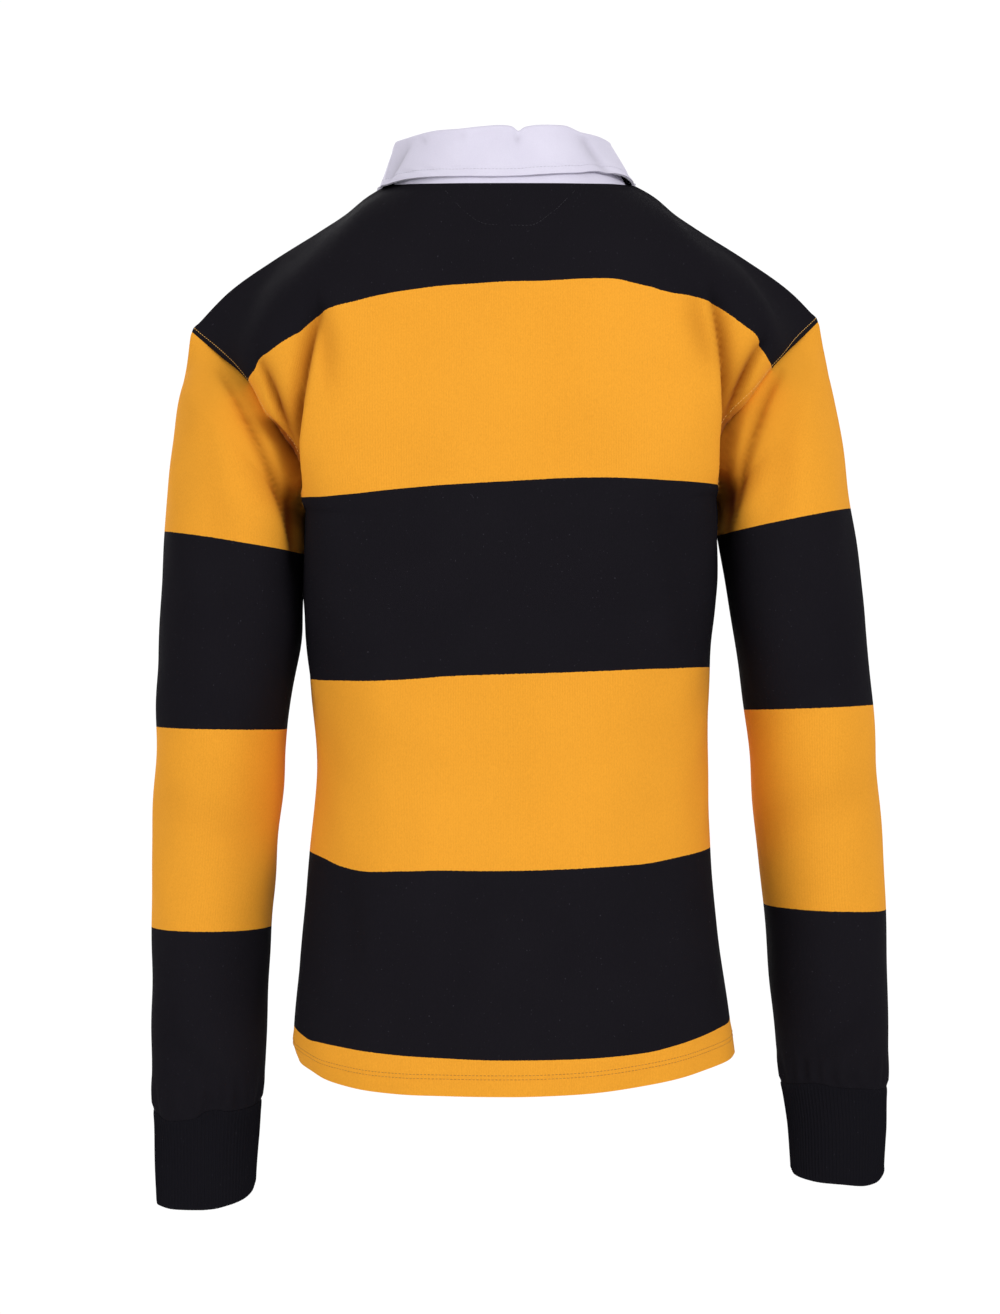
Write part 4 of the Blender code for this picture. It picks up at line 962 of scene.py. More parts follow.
def knit_height(recipe):
    """Plain knitting: columns of small V-shaped loops."""
    across, along = recipe.cloth()
    place = recipe.maths("FRACT", recipe.maths("DIVIDE", across, WALE))
    aside = recipe.maths("ABSOLUTE", recipe.maths("MULTIPLY_ADD", place, 2.0, -1.0))
    slanted = recipe.maths("MULTIPLY_ADD", aside, 0.5, recipe.maths("DIVIDE", along, COURSE))
    loop = recipe.maths("SINE", recipe.maths("MULTIPLY", slanted, 2 * math.pi))
    rounded = recipe.maths("SUBTRACT", 1.0, recipe.maths("MULTIPLY", aside, aside))
    return recipe.maths("MULTIPLY_ADD", loop, 0.25, recipe.maths("MULTIPLY", rounded, 0.75))


def hooped_jersey():
    recipe = Recipe("hooped_jersey", 0.92, shine=0.02)
    knit = knit_height(recipe)
    fuzz = recipe.noise(1400, 3, (1, 1, 0.45))
    cloud = recipe.noise(14, 3)
    heather = recipe.spread(recipe.maths("MULTIPLY_ADD", knit, 0.35, fuzz), 0.30, 1.0)
    shade = recipe.spread(recipe.maths("MULTIPLY_ADD", cloud, 0.45, heather), 0.15, 1.05)
    gold = recipe.blend(shade, GOLD_DEEP, GOLD)
    lint = recipe.spread(recipe.noise(620, 1), 0.74, 0.82)
    worn = recipe.spread(recipe.maths("MULTIPLY_ADD", fuzz, 0.6, cloud), 0.35, 1.1)
    black = recipe.blend(recipe.maths("MULTIPLY", worn, 0.035), BLACK, LINT)
    black = recipe.blend(recipe.maths("MULTIPLY", lint, 0.5), black, LINT)
    uneven = recipe.maths("MULTIPLY_ADD", recipe.noise(900, 1), 0.006, recipe.attribute("hoop"))
    # Painted shade: gold and black darken in the creases, where shade falls, by the fold attribute.
    fold = recipe.attribute("fold")
    gold = recipe.blend(fold, gold, GOLD_PAINTED_SHADE)
    black = recipe.blend(fold, black, BLACK_PAINTED_SHADE)
    is_black = recipe.maths("GREATER_THAN", recipe.maths("MODULO", uneven, 2.0), 1.0)
    recipe.colour(recipe.blend(is_black, gold, black))
    sheen = recipe.maths("MULTIPLY_ADD", is_black, -0.02, 0.02)
    recipe.put(sheen, recipe.shader.inputs["Sheen Weight"])
    recipe.relief(recipe.maths("MULTIPLY_ADD", fuzz, 0.5, knit), 0.30, 0.0004)
    return recipe.material


def black_rib():
    recipe = Recipe("black_rib", 0.92, shine=0.02)
    knit = knit_height(recipe)
    fuzz = recipe.noise(1300, 3)
    lint = recipe.spread(recipe.noise(560, 1), 0.75, 0.83)
    worn = recipe.spread(recipe.maths("MULTIPLY_ADD", fuzz, 0.6, knit), 0.35, 1.4)
    black = recipe.blend(recipe.maths("MULTIPLY", worn, 0.03), RIB_BLACK, LINT)
    recipe.colour(recipe.blend(recipe.maths("MULTIPLY", lint, 0.45), black, LINT))
    recipe.relief(recipe.maths("MULTIPLY_ADD", fuzz, 0.5, knit), 0.3, 0.0004)
    return recipe.material


def white_twill():
    recipe = Recipe("white_twill", 0.80, sheen=0.10)
    across, along = recipe.cloth()
    slanted = recipe.maths("DIVIDE", recipe.maths("ADD", across, along), TWILL_LINE)
    line = recipe.maths("SINE", recipe.maths("MULTIPLY", slanted, 2 * math.pi))
    fuzz = recipe.noise(1500, 3)
    cloud = recipe.noise(30, 3)
    mottle = recipe.maths("ADD", fuzz, cloud)
    shade = recipe.spread(recipe.maths("MULTIPLY_ADD", line, 0.12, mottle), 0.5, 1.4)
    white = recipe.blend(shade, WHITE_SHADE, WHITE)
    # Painted shade: the white darkens in the collar's creases, where shade falls.
    recipe.colour(recipe.blend(recipe.attribute("fold"), white, WHITE_PAINTED_SHADE))
    recipe.relief(recipe.maths("MULTIPLY_ADD", line, 0.5, fuzz), 0.22, 0.0003)
    return recipe.material


def thread(name, pale, deep):
    recipe = Recipe(name, 0.6, sheen=0.1)
    recipe.colour(recipe.blend(recipe.spread(recipe.noise(900, 2), 0.35, 0.65), deep, pale))
    recipe.relief(recipe.noise(3000, 1), 0.3, 0.0001)
    return recipe.material


def white_rubber():
    recipe = Recipe("white_rubber", 0.45)
    cloud = recipe.spread(recipe.noise(160, 4), 0.3, 0.7)
    recipe.colour(recipe.blend(cloud, *RUBBER))
    recipe.relief(recipe.noise(700, 3), 0.12, 0.0002)
    return recipe.material


def floor_paint():
    recipe = Recipe("floor_paint", 0.9)
    recipe.colour(recipe.blend(recipe.noise(2, 2), *FLOOR))
    return recipe.material


HOOPED_JERSEY = hooped_jersey()
BLACK_RIB = black_rib()
WHITE_TWILL = white_twill()
WHITE_RUBBER = white_rubber()
GOLD_THREAD = thread("gold_thread", (0.82, 0.46, 0.13), (0.64, 0.33, 0.07))
HEM_THREAD = thread("hem_thread", (0.50, 0.235, 0.040), (0.30, 0.135, 0.022))
WHITE_THREAD = thread("white_thread", (0.60, 0.58, 0.66), (0.44, 0.42, 0.50))
BLACK_THREAD = thread("black_thread", (0.035, 0.033, 0.040), (0.015, 0.014, 0.018))


# ---------------------------------------------------------------------------------------------
# Stitches

STITCH_LENGTH = 0.0020
STITCH_GAP = 0.0008
THREAD = 0.00042
HEM_THREAD_THICK = 0.00046
ARMHOLE_THREAD_THICK = 0.00050
# How far a stitch's middle stands off the cloth, as a part of its thickness, and how blunt it is.
PROUD = 0.12
BLUNT = 0.7


def grain_of_thread():
    """The points and faces of one stitch, 1 long in x and 1 thick in y and z."""
    bpy.ops.object.select_all(action="DESELECT")
    bpy.ops.mesh.primitive_uv_sphere_add(segments=6, ring_count=5, radius=0.5)
    ball = bpy.context.object
    bpy.ops.object.mode_set(mode="EDIT")
    bpy.ops.transform.rotate(value=math.pi / 2, orient_axis="Y", center_override=(0, 0, 0))
    bpy.ops.object.mode_set(mode="OBJECT")
    points = np.array([v.co for v in ball.data.vertices])
    faces = [np.array(p.vertices) for p in ball.data.polygons]
    bpy.data.objects.remove(ball, do_unlink=True)
    points[:, 0] = np.sign(points[:, 0]) * np.abs(points[:, 0] * 2) ** BLUNT / 2
    return points, faces


GRAIN_POINTS, GRAIN_FACES = grain_of_thread()


def surface_line(sheet, axis, end, inset, keep=np.s_[:]):
    """The line that runs on the outside of a sheet, that far in from one of its edges."""
    points, turned = outside(sheet), sheet["turned"]
    if axis == 1:
        points, turned = points.transpose(1, 0, 2), turned.transpose(1, 0, 2)
    if end == -1:
        points, turned = points[::-1], turned[::-1]
    points, turned = points[:, keep], turned[:, keep]
    length = run_length(points, 0)
    insets = np.broadcast_to(inset, points.shape[1])
    columns = range(points.shape[1])
    places, ways = (
        np.array([read_line(insets[k], length[:, k], values[:, k]) for k in columns])
        for values in (points, turned)
    )
    return places, unit(ways)


def stitch(name, lines, material, thick=THREAD):
    """Sews rows of stitches along lines on the cloth."""
    vertices, faces = [], []
    for places, ways in lines:
        run = run_length(places, 0)
        count = int(run[-1] / (STITCH_LENGTH + STITCH_GAP))
        middles = (np.arange(count) + 0.5) * run[-1] / count
        at = read_line(middles, run, places)
        up = unit(read_line(middles, run, ways))
        along = unit(read_line(middles + STITCH_LENGTH / 2, run, places) - at + 1e-9)
        aside = unit(np.cross(up, along))
        for k in range(count):
            turn = np.stack([along[k] * STITCH_LENGTH, aside[k] * thick, up[k] * thick])
            base = len(vertices)
            vertices.extend((GRAIN_POINTS @ turn + at[k] + up[k] * thick * PROUD).tolist())
            faces.extend((face + base).tolist() for face in GRAIN_FACES)
    mesh = bpy.data.meshes.new(name)
    mesh.from_pydata(vertices, [], faces)
    return new_piece(name, mesh, material)


# ---------------------------------------------------------------------------------------------
# Body and sleeves

# The turned hem: its depth, the step at its upper edge, what it adds to half the thickness, and its
# two rows of stitching.
HEM_TURN = 0.0215
HEM_STEP = 0.0015
HEM_EXTRA = 0.0005
HEM_ROWS = (0.0128, 0.0158)
# How far the topstitch lies from the armhole at the shoulder, and how much further at the underarm.
TOPSTITCH = 0.0036
TOPSTITCH_DRIFT = 0.0150
# The lower end of the slot for the placket.
SLOT_BOTTOM = -0.250
# The faint unevenness of each sheet, its seeds, and how far from a seam it stays away.
BODY_DRAPE = 0.0007
BODY_SEEDS = {BACK: 5, FRONT: 6}
SLEEVE_DRAPE = 0.0008
SLEEVE_SEEDS = {LEFT: 12, RIGHT: 10}
CALM = 0.03


def hoop_counts(points, along, face):
    """How many changes of colour lie below each point of a panel."""
    changes = BODY_HOOPS["cloth"]
    knots = np.arange(len(changes))
    strays = np.zeros((points.shape[1], len(changes)))
    if face == BACK:
        for k, name in enumerate(list(HOOP_STRAYS)[1:], start=1):
            row = points[np.abs(along - changes[k]).argmin(), :, 0]
            places = np.clip(row, HOOP_STRAYS["across"][0], HOOP_STRAYS["across"][-1])
            strays[:, k] = read(HOOP_STRAYS, "across", places, name)[..., 0]
    counts = [np.interp(along, changes - column, knots) for column in strays]
    return np.minimum(np.stack(counts, axis=1), knots[-1] - 0.1)


def body_sheet(face):
    points = body_panel(face)
    sheet = new_sheet(points, JERSEY / 2, outward_from=TRUNK_MIDDLE)
    along = np.interp(body_stations(), BODY_HOOPS["station"], BODY_HOOPS["cloth"])
    columns = points.shape[1]
    across = run_length(points, 1)
    sheet["cloth"] = cloth_map(across - across[:, [columns // 2]], along[:, None])
    sheet["hoop"] = hoop_counts(points, along, face)
    in_hem = 1 - grow(along, HEM_TURN, HEM_STEP)
    sheet["half"] = np.tile((JERSEY / 2 + HEM_EXTRA * in_hem)[:, None], (1, columns))
    return sheet


# The stretches of a sleeve, each with its start, end and number of rings.
SLEEVE_STRETCHES = ((0.0, 0.02, 10), (0.02, 0.56, 125), (0.56, 0.617, 20))


def sleeve_lengths():
    """Ring places down a sleeve, close together by the armhole and by the cuff."""
    parts = [np.linspace(start, end, rings + 1)[1:] for start, end, rings in SLEEVE_STRETCHES]
    return np.concatenate([[0.0], *parts])


# How far the cuff seam strays down the arm, and how far the cuff's open end is drawn up, by angle
# round the cuff: 0 outermost, a quarter turn behind, half a turn innermost.
CUFF_WAVES = {
    LEFT: table("turn seam end", [
        (0.00, 0.0000, 0.0030), (0.43, 0.0020, 0.0020), (0.84, 0.0072, 0.0000),
        (1.21, 0.0070, -0.0010), (1.44, 0.0052, -0.0016), (1.59, 0.0014, -0.0020),
        (1.75, 0.0004, -0.0020), (2.08, 0.0032, -0.0006), (2.45, 0.0030, 0.0020),
        (2.80, 0.0010, 0.0066), (3.14, 0.0000, 0.0130), (3.70, 0.0010, 0.0070),
        (4.30, 0.0028, 0.0000), (5.20, 0.0010, 0.0000), (2 * math.pi, 0.0000, 0.0030),
    ]),
    RIGHT: table("turn seam end", [
        (0.00, 0.0000, 0.0110), (0.35, 0.0000, 0.0060), (0.70, 0.0000, 0.0010),
        (1.10, -0.0010, -0.0010), (1.58, -0.0018, 0.0000), (2.00, -0.0040, 0.0004),
        (2.40, -0.0020, 0.0018), (2.80, -0.0005, 0.0040), (3.14, 0.0000, 0.0084),
        (3.90, 0.0015, 0.0010), (4.60, 0.0024, 0.0000), (5.50, 0.0005, 0.0030),
        (2 * math.pi, 0.0000, 0.0110),
    ]),
}


def cuff_wave(side, turn, name):
    return read(CUFF_WAVES[side], "turn", turn, name)[..., 0]


# The gathers above the cuff: how many, how deep and how long they are, and how they start at the
# cuff; and how far up the sleeve its seam's stray line is felt.
PLEAT_COUNT = 19
PLEAT_DEPTH = 0.0011
PLEAT_LENGTH = 0.030
PLEAT_STARTS = (0.006, 0.004)
SEAM_WAVE_LENGTH = 0.04


def sleeve_sheet(side):
    at = sleeve_lengths()
    points = sleeve(side, at)
    sheet = new_sheet(points, JERSEY / 2, closed=True)
    rows, columns, _ = points.shape
    ring = np.linalg.norm(np.roll(points, -1, axis=1) - points, axis=-1)
    across = np.concatenate([np.zeros((rows, 1)), np.cumsum(ring, axis=1)[:, :-1]], axis=1)
    sheet["cloth"] = cloth_map(across, -at[:, None])
    hoops = np.interp(at, SLEEVE_HOOPS, np.arange(len(SLEEVE_HOOPS)))
    hoops = np.minimum(hoops, len(SLEEVE_HOOPS) - 1.1)
    sheet["hoop"] = np.tile(hoops[:, None], (1, columns))
    sheet["at"] = at
    return sheet


def crease_rise(sheet, own_lines, from_seam):
    """The rise of the armhole's creases and of the sheet's own, and the shade painted into them."""
    rise, fold_shade = creases(sheet["points"], sheet["turned"], ARM_CREASES)
    own_rise, own_fold_shade = creases(sheet["points"], sheet["turned"], own_lines)
    # The shade painted into the colour along both sets of creases.
    sheet["fold"] = 1 - (1 - fold_shade) * (1 - own_fold_shade)
    return rise + own_rise * grow(from_seam, 0.0, CREASE_CLEAR)


def shape_body(sheet, seed):
    """Creases, faint unevenness, and the ridge of the seam allowance along the armholes."""
    points, turned = sheet["points"], sheet["turned"]
    in_armhole = grow(np.arange(points.shape[0]), SIDE_ROWS + 2, 8)[:, None]
    to_side = np.minimum(sheet["from_edge"][1, 0], sheet["from_edge"][1, -1])
    calm = grow(to_side, 0.0, CALM) * grow(sheet["from_edge"][0, -1], 0.0, CALM)
    rise = crease_rise(sheet, BODY_CREASES, to_side) + drape(points, BODY_DRAPE, seed) * calm
    allowance = ridge(to_side - SEAM_RIDGE_AT, SEAM_RIDGE_WIDTH) * SEAM_RIDGE
    rise = rise + (allowance - ridge(to_side, BODY_GROOVE_WIDTH) * SEAM_GROOVE) * in_armhole
    sheet["points"] = points + turned * rise[..., None]


def shape_sleeve(sheet, side):
    """Creases, faint unevenness, the groove at the armhole and the gathers above the cuff."""
    points, turned, at = sheet["points"], sheet["turned"], sheet["at"][:, None]
    turn = np.linspace(0, 2 * math.pi, points.shape[1], endpoint=False)[None, :]
    from_cuff = at[-1] - at
    uneven = drape(points, SLEEVE_DRAPE, SLEEVE_SEEDS[side]) * grow(at, 0, CALM)
    rise = crease_rise(sheet, SLEEVE_CREASES, at) + uneven * grow(from_cuff, 0, CALM)
    rise = rise - ridge(at, SLEEVE_GROOVE_WIDTH) * SEAM_GROOVE
    pleats = np.sin(turn * PLEAT_COUNT + 1.7 * np.sin(turn * 3))
    gather = pleats + 0.5 * np.sin(turn * (PLEAT_COUNT - 6) + 1)
    start, end = PLEAT_STARTS
    swell = grow(from_cuff, 0, start) * (1 - grow(from_cuff, end, PLEAT_LENGTH))
    rise = rise + gather * PLEAT_DEPTH * swell
    points = points + turned * rise[..., None]
    fade = 1 - grow(from_cuff, 0, SEAM_WAVE_LENGTH)
    sheet["points"] = points + (cuff_wave(side, turn, "seam") * fade)[..., None] * DOWN


back = body_sheet(BACK)
front = body_sheet(FRONT)
sleeves = {side: sleeve_sheet(side) for side in (LEFT, RIGHT)}
share_seams([back, front] + list(sleeves.values()))
shape_body(back, BODY_SEEDS[BACK])
shape_body(front, BODY_SEEDS[FRONT])
for side, sheet in sleeves.items():
    shape_sleeve(sheet, side)

slot_middle = front["points"].shape[1] // 2
slot_row = int(np.argmax(front["points"][:, slot_middle, 2] > SLOT_BOTTOM))
front["keep"] = lambda i, j: ~((i >= slot_row) & (np.abs(j - slot_middle + 0.5) < FINE))

back_cloth = sew("back_cloth", back, HOOPED_JERSEY)
front_cloth = sew("front_cloth", front, HOOPED_JERSEY)
sleeve_left_cloth = sew("sleeve_left_cloth", sleeves[LEFT], HOOPED_JERSEY)
sleeve_right_cloth = sew("sleeve_right_cloth", sleeves[RIGHT], HOOPED_JERSEY)

# Topstitching: both armholes on the body side, two rows round the hem.
armhole_rows = np.s_[SIDE_ROWS + 1:]
armhole_inset = TOPSTITCH + TOPSTITCH_DRIFT * ease(np.linspace(2.0, 0.0, ARM_ROWS))
armhole_lines = [
    surface_line(sheet, 1, end, armhole_inset, armhole_rows)
    for sheet in (back, front) for end in (0, -1)
]
armhole_topstitch = stitch("armhole_topstitch", armhole_lines, GOLD_THREAD, ARMHOLE_THREAD_THICK)
hem_lines = [surface_line(sheet, 0, 0, inset) for sheet in (back, front) for inset in HEM_ROWS]
hem_topstitch = stitch("hem_topstitch", hem_lines, HEM_THREAD, HEM_THREAD_THICK)


# The stitching of the half-moon patch inside the back neck.
HALF_MOON = table("along x z", [
    (0.0, 0.0460, -0.0170), (0.2, 0.0330, -0.0330), (0.4, 0.0140, -0.0450), (0.6, -0.0160, -0.0460),
    (0.8, -0.0350, -0.0350), (1.0, -0.0520, -0.0170),
])


def line_behind(sheet, path):
    """The line on the back's outside that lies straight behind a path of x and z."""
    flat, ways = outside(sheet).reshape(-1, 3), sheet["turned"].reshape(-1, 3)
    near = [np.argsort(np.hypot(flat[:, 0] - x, flat[:, 2] - z))[:4] for x, z in path]
    places = np.array([flat[pick].mean(axis=0) for pick in near])
    places[:, [0, 2]] = path
    return places, unit(np.array([ways[pick].mean(axis=0) for pick in near]))


half_moon = line_behind(back, read(HALF_MOON, "along", np.linspace(0, 1, 60), "x", "z"))
half_moon_topstitch = stitch("half_moon_topstitch", [half_moon], BLACK_THREAD)


# ---------------------------------------------------------------------------------------------
# Cuffs

RIB_COUNT = 84
RIB_POINTS = 6
RIB_HEIGHT = 0.0006
CUFF_ROWS = 30
CUFF_DRAPE = 0.0006
CUFF_SEEDS = {LEFT: 32, RIGHT: 30}
# The mean radius that the knitting is counted on.
CUFF_RADIUS = 0.0345


def cuff_sheet(side):
    columns = RIB_COUNT * RIB_POINTS
    points = cuff(side, columns, CUFF_ROWS)
    turn = np.linspace(0, 2 * math.pi, columns, endpoint=False)[None, :]
    t = np.linspace(0, 1, CUFF_ROWS)[:, None]
    end_lift = cuff_wave(side, turn, "end") * ease((t - 0.3) / 0.7)
    shift = cuff_wave(side, turn, "seam") * (1 - ease(t / 0.6)) - end_lift
    points = points + shift[..., None] * DOWN
    sheet = new_sheet(points, RIB_KNIT / 2, closed=True)
    sheet["turned"] = sheet["normals"]
    sheet["cloth"] = cloth_map(turn * CUFF_RADIUS, -t * CUFF_LENGTH[side])
    rib = 0.5 + 0.5 * np.cos(np.arange(columns) * 2 * math.pi / RIB_POINTS)
    ends = grow(t, 0.0, 0.05) * grow(1 - t, 0.0, 0.03)
    sheet["ribs"] = (rib[None, :] - 0.4) * RIB_HEIGHT * (0.35 + 0.65 * ends)
    uneven = drape(points, CUFF_DRAPE, CUFF_SEEDS[side]) * ends
    sheet["points"] = points + sheet["normals"] * uneven[..., None]
    return sheet


cuff_cloth = {}
for side, name in ((LEFT, "cuff_left_cloth"), (RIGHT, "cuff_right_cloth")):
    sheet = cuff_sheet(side)
    cuff_cloth[side] = sew(name, sheet, BLACK_RIB, lift=sheet["ribs"])


# ---------------------------------------------------------------------------------------------
# Collar

COLLAR_TOPSTITCH = 0.0060
# The pull of the topstitch on the fall: its pucker, with its step along the edge, and its channel.
PUCKER = 0.00036
PUCKER_STEP = 0.0048
PUCKER_DRIFT = 0.021
PUCKER_WIDTH = 0.0035
CHANNEL = 0.00045
CHANNEL_WIDTH = 0.0012
# The turned-in edge of the collar, which is thicker than the rest.
RIM_EXTRA = 0.00035
RIM_WIDTH = 0.0045
COLLAR_DRAPE = 0.0006
COLLAR_SEED = 21


def thinned_tree(sheets):
    """Every second line of some sheets as one tree for finding the nearest place on them."""
    vertices, faces = [], []
    for sheet in sheets:
        points = sheet["points"]
        lines = [
            np.unique(np.append(np.arange(0, count, 2), count - 1)) for count in points.shape[:2]
        ]
        points = points[np.ix_(*lines)]
        base = len(vertices)
        vertices += [Vector(point) for point in points.reshape(-1, 3)]
        faces += (grid_quads(points.shape[0], points.shape[1], False) + base).tolist()
    return BVHTree.FromPolygons(vertices, faces)


def collar_sheet():
    body = thinned_tree([back, front])
    points = clear_of_body(collar(), body, STAND_ROWS + ROLL_ROWS)
    sheet = new_sheet(points, TWILL / 2)
    sheet["normals"] = -sheet["normals"]
    share_seams([sheet])
    from_rim = np.minimum.reduce([sheet["from_edge"][edge] for edge in ((0, -1), (1, 0), (1, -1))])
    on_fall = grow(np.arange(points.shape[0])[:, None], STAND_ROWS + ROLL_ROWS - 1, 4)
    across, along = run_length(points, 1), run_length(points, 0)
    pucker = np.sin(across / PUCKER_STEP + np.sin(across / PUCKER_DRIFT) * 2) * PUCKER
    from_stitch = from_rim - COLLAR_TOPSTITCH
    pull = pucker * ridge(from_stitch, PUCKER_WIDTH) - ridge(from_stitch, CHANNEL_WIDTH) * CHANNEL
    own_rise, own_fold_shade = creases(points, sheet["normals"], COLLAR_CREASES)
    rise = pull * on_fall + own_rise * on_fall + drape(points, COLLAR_DRAPE, COLLAR_SEED) * on_fall
    # The shade painted into the collar's colour along its creases.
    sheet["fold"] = own_fold_shade * on_fall
    sheet["points"] = points + sheet["turned"] * rise[..., None]
    sheet["half"] = TWILL / 2 + RIM_EXTRA * ridge(from_rim, RIM_WIDTH) * on_fall
    sheet["cloth"] = cloth_map(across, along)
    return sheet


leaf = collar_sheet()
collar_cloth = sew("collar_cloth", leaf, WHITE_TWILL)
fall_rows = np.s_[STAND_ROWS + ROLL_ROWS:]
collar_topstitch = stitch("collar_topstitch", [
    surface_line(leaf, axis, end, COLLAR_TOPSTITCH, keep)
    for axis, end, keep in ((0, -1, np.s_[6:-6]), (1, 0, fall_rows), (1, -1, fall_rows))
], WHITE_THREAD)


# ---------------------------------------------------------------------------------------------
# Placket and buttons

PLACKET_HALF = 0.0185
PLACKET_BOTTOM = -0.2545
PLACKET_TOP_DROP = 0.0022
PLACKET_COLUMNS = 25
PLACKET_ROWS = 90
PLACKET_TOPSTITCH = 0.0025
PLACKET_CHANNEL = 0.00022
PLACKET_CHANNEL_WIDTH = 0.0008
# The row of stitching that closes the box at the placket's foot.
BOX_LINE = 0.030
PLACKET_LIFT = (JERSEY + TWILL) / 2 + 0.0004


def placket_sheet():
    """The outer strip of the placket, laid on the front."""
    middle = front["points"][:, slot_middle, 2]
    ends = [PLACKET_BOTTOM, middle[-1] - PLACKET_TOP_DROP]
    foot, top = np.interp(ends, middle, np.arange(len(middle)))
    x = CENTRE_X + np.linspace(-PLACKET_HALF, PLACKET_HALF, PLACKET_COLUMNS)
    points, ways = [], []
    for level in np.linspace(foot, top, PLACKET_ROWS):
        low = min(int(level), len(middle) - 2)
        part = level - low
        line = front["points"][low] * (1 - part) + front["points"][low + 1] * part
        way = front["turned"][low] * (1 - part) + front["turned"][low + 1] * part
        points.append(read_line(x, line[:, 0], line))
        ways.append(read_line(x, line[:, 0], way))
    ways = unit(np.array(ways))
    points = np.array(points) + ways * PLACKET_LIFT
    sheet = new_sheet(points, TWILL / 2)
    sheet["normals"] = sheet["turned"] = ways
    across, along = run_length(points, 1), run_length(points, 0)
    rim = np.minimum.reduce([along, across, across[:, -1:] - across])
    channel = ridge(rim - PLACKET_TOPSTITCH, PLACKET_CHANNEL_WIDTH) * PLACKET_CHANNEL
    sheet["points"] = points - ways * channel[..., None]
    sheet["cloth"] = cloth_map(across, along)
    return sheet


def slot_strip():
    """The under strip of the placket, which fills the slot."""
    columns = np.s_[slot_middle - FINE:slot_middle + FINE + 1]
    points = front["points"][slot_row:, columns].copy()
    sheet = new_sheet(points, TWILL / 2)
    sheet["normals"] = sheet["turned"] = front["turned"][slot_row:, columns]
    sheet["cloth"] = cloth_map(run_length(points, 1), run_length(points, 0))
    return sheet


placket = placket_sheet()
placket_cloth = sew("placket_cloth", placket, WHITE_TWILL)
under_cloth = sew("placket_under_cloth", slot_strip(), WHITE_TWILL)
placket_lines = [surface_line(placket, 1, end, PLACKET_TOPSTITCH) for end in (0, -1)]
placket_lines += [
    surface_line(placket, 0, 0, inset, np.s_[2:-2]) for inset in (PLACKET_TOPSTITCH, BOX_LINE)
]
placket_topstitch = stitch("placket_topstitch", placket_lines, WHITE_THREAD)
for node in ("button_1", "button_2", "button_3"):
    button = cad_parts[node]
    button.data.materials.clear()
    button.data.materials.append(WHITE_RUBBER)


# ---------------------------------------------------------------------------------------------
# What each piece stands for, and the cloth it was cut from

# Piece, node, slot, width and length of the cut (round a tube, its whole girth), its flat area, how
# it is held, what it rests on and the stitching on it.
JERSEY_SLOT, RIB_SLOT, TWILL_SLOT = "hooped_jersey", "black_rib", "white_twill"
SHEETS = (
    (back_cloth, "back_panel", JERSEY_SLOT, (0.537, 0.735), 0.322, "hung", (),
     (armhole_topstitch, half_moon_topstitch)),
    (front_cloth, "front_panel", JERSEY_SLOT, (0.523, 0.775), 0.308, "hung", (), (hem_topstitch,)),
    (sleeve_left_cloth, "sleeve_left", JERSEY_SLOT, (0.473, 0.617), 0.200, "hung", (), ()),
    (sleeve_right_cloth, "sleeve_right", JERSEY_SLOT, (0.468, 0.617), 0.196, "hung", (), ()),
    (cuff_cloth[LEFT], "cuff_left", RIB_SLOT, (0.239, 0.077), 0.0168, "hung", (), ()),
    (cuff_cloth[RIGHT], "cuff_right", RIB_SLOT, (0.233, 0.075), 0.0160, "hung", (), ()),
    (collar_cloth, "collar", TWILL_SLOT, (0.683, 0.119), 0.0478, "folded", (back_cloth,),
     (collar_topstitch,)),
    (placket_cloth, "placket_outer", TWILL_SLOT, (0.037, 0.186), None, "laid", (front_cloth,),
     (placket_topstitch,)),
    (under_cloth, "placket_under", TWILL_SLOT, (0.032, 0.182), None, "laid", (front_cloth,), ()),
)
for piece, node, slot, cut, flat_area, held, rests_on, stitches in SHEETS:
    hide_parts(node)


# ---------------------------------------------------------------------------------------------
# Studio

FLOOR_Z = -1.45
FLOOR_HALF = 2.4
CAMERA_AT = (0.0047, 2.6, -0.369)
LENS = 91.33
SENSOR = 36
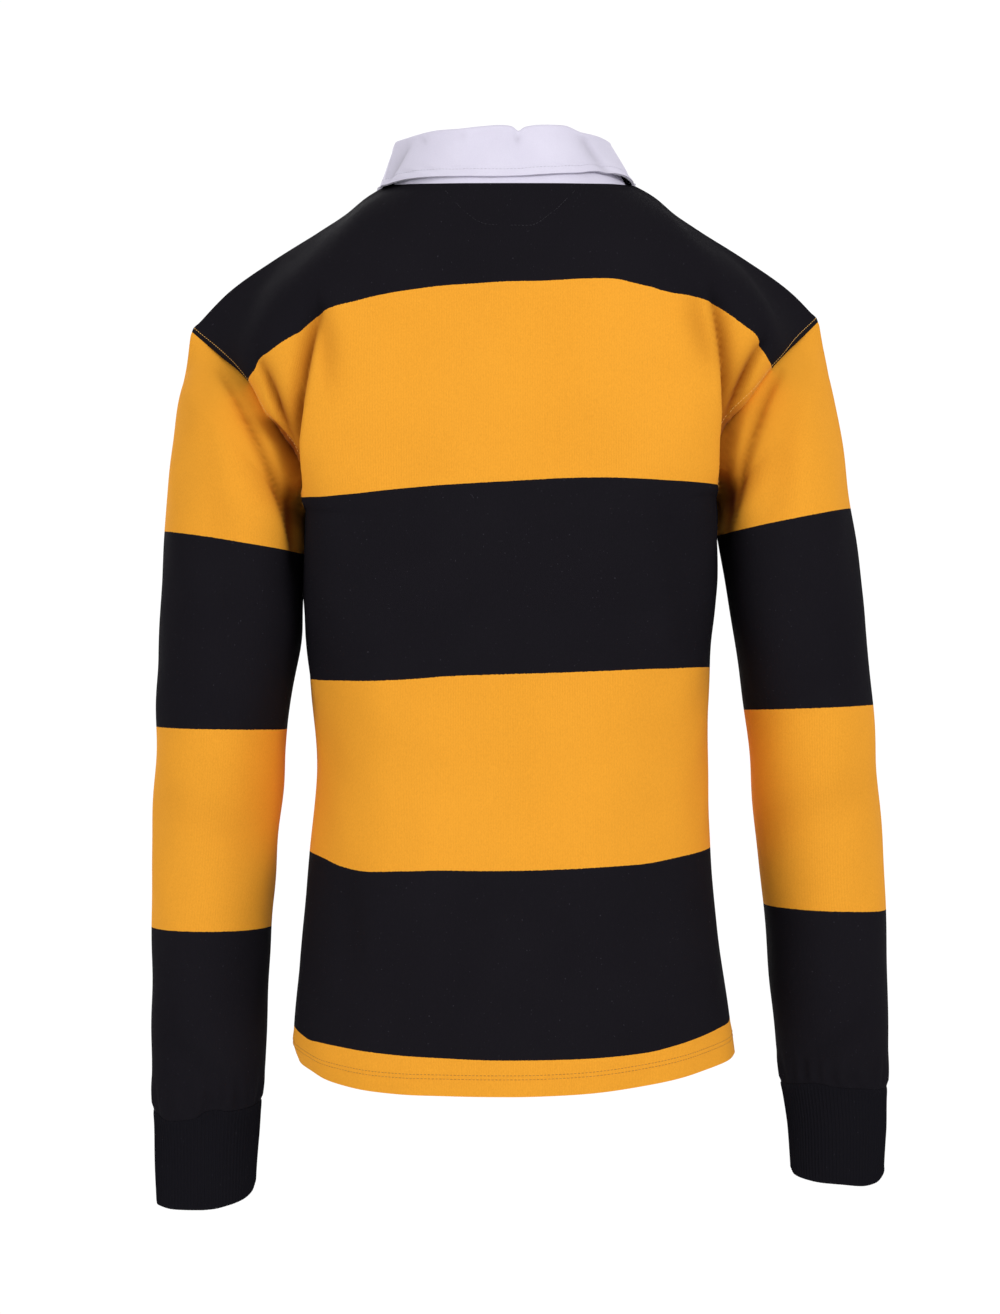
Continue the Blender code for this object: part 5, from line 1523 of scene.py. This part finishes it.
# How bright the surroundings are, from behind the shirt's back to its front.
AIR_LEVELS = {"From Min": -0.93, "From Max": -0.30, "To Min": 1.04, "To Max": 0.62}

bpy.ops.object.select_all(action="DESELECT")
bpy.ops.mesh.primitive_plane_add(size=2 * FLOOR_HALF, location=(0, 0, FLOOR_Z))
floor = bpy.context.object
floor.name = "floor"
floor.data.materials.append(floor_paint())


def soft_light(name, place, target, size, power):
    light = bpy.data.lights.new(name, "AREA")
    light.shape = "DISK"
    light.size = size
    light.energy = power
    lamp = bpy.data.objects.new(name, light)
    lamp.location = place
    lamp.rotation_euler = (Vector(target) - Vector(place)).to_track_quat("-Z", "Y").to_euler()
    bpy.context.scene.collection.objects.link(lamp)


def studio_air():
    """Pale surroundings, brightest behind the shirt as seen from its back."""
    world = bpy.data.worlds.new("studio")
    world.use_nodes = True
    nodes, links = world.node_tree.nodes, world.node_tree.links
    where = nodes.new("ShaderNodeTexCoord")
    parts = nodes.new("ShaderNodeSeparateXYZ")
    level = nodes.new("ShaderNodeMapRange")
    level.interpolation_type = "SMOOTHSTEP"
    for limit, value in AIR_LEVELS.items():
        level.inputs[limit].default_value = value
    links.new(where.outputs["Generated"], parts.inputs[0])
    links.new(parts.outputs["Y"], level.inputs["Value"])
    links.new(level.outputs["Result"], nodes["Background"].inputs["Strength"])
    nodes["Background"].inputs["Color"].default_value = (1, 1, 1, 1)
    bpy.context.scene.world = world


studio_air()
soft_light("key", (-1.5, 2.6, 1.0), (0, 0, -0.35), 1.3, 46)
soft_light("fill", (2.2, 1.8, 0.3), (0, 0, -0.4), 1.6, 19)
soft_light("front_light", (0.9, -2.6, 0.9), (0, 0, -0.35), 1.6, 42)

camera_data = bpy.data.cameras.new("camera")
camera_data.lens = LENS
camera_data.sensor_width = SENSOR
camera = bpy.data.objects.new("camera", camera_data)
camera.location = CAMERA_AT
camera.rotation_euler = (math.pi / 2, 0, math.pi)
bpy.context.scene.collection.objects.link(camera)
bpy.context.scene.camera = camera
bpy.context.scene.view_settings.view_transform = "Standard"
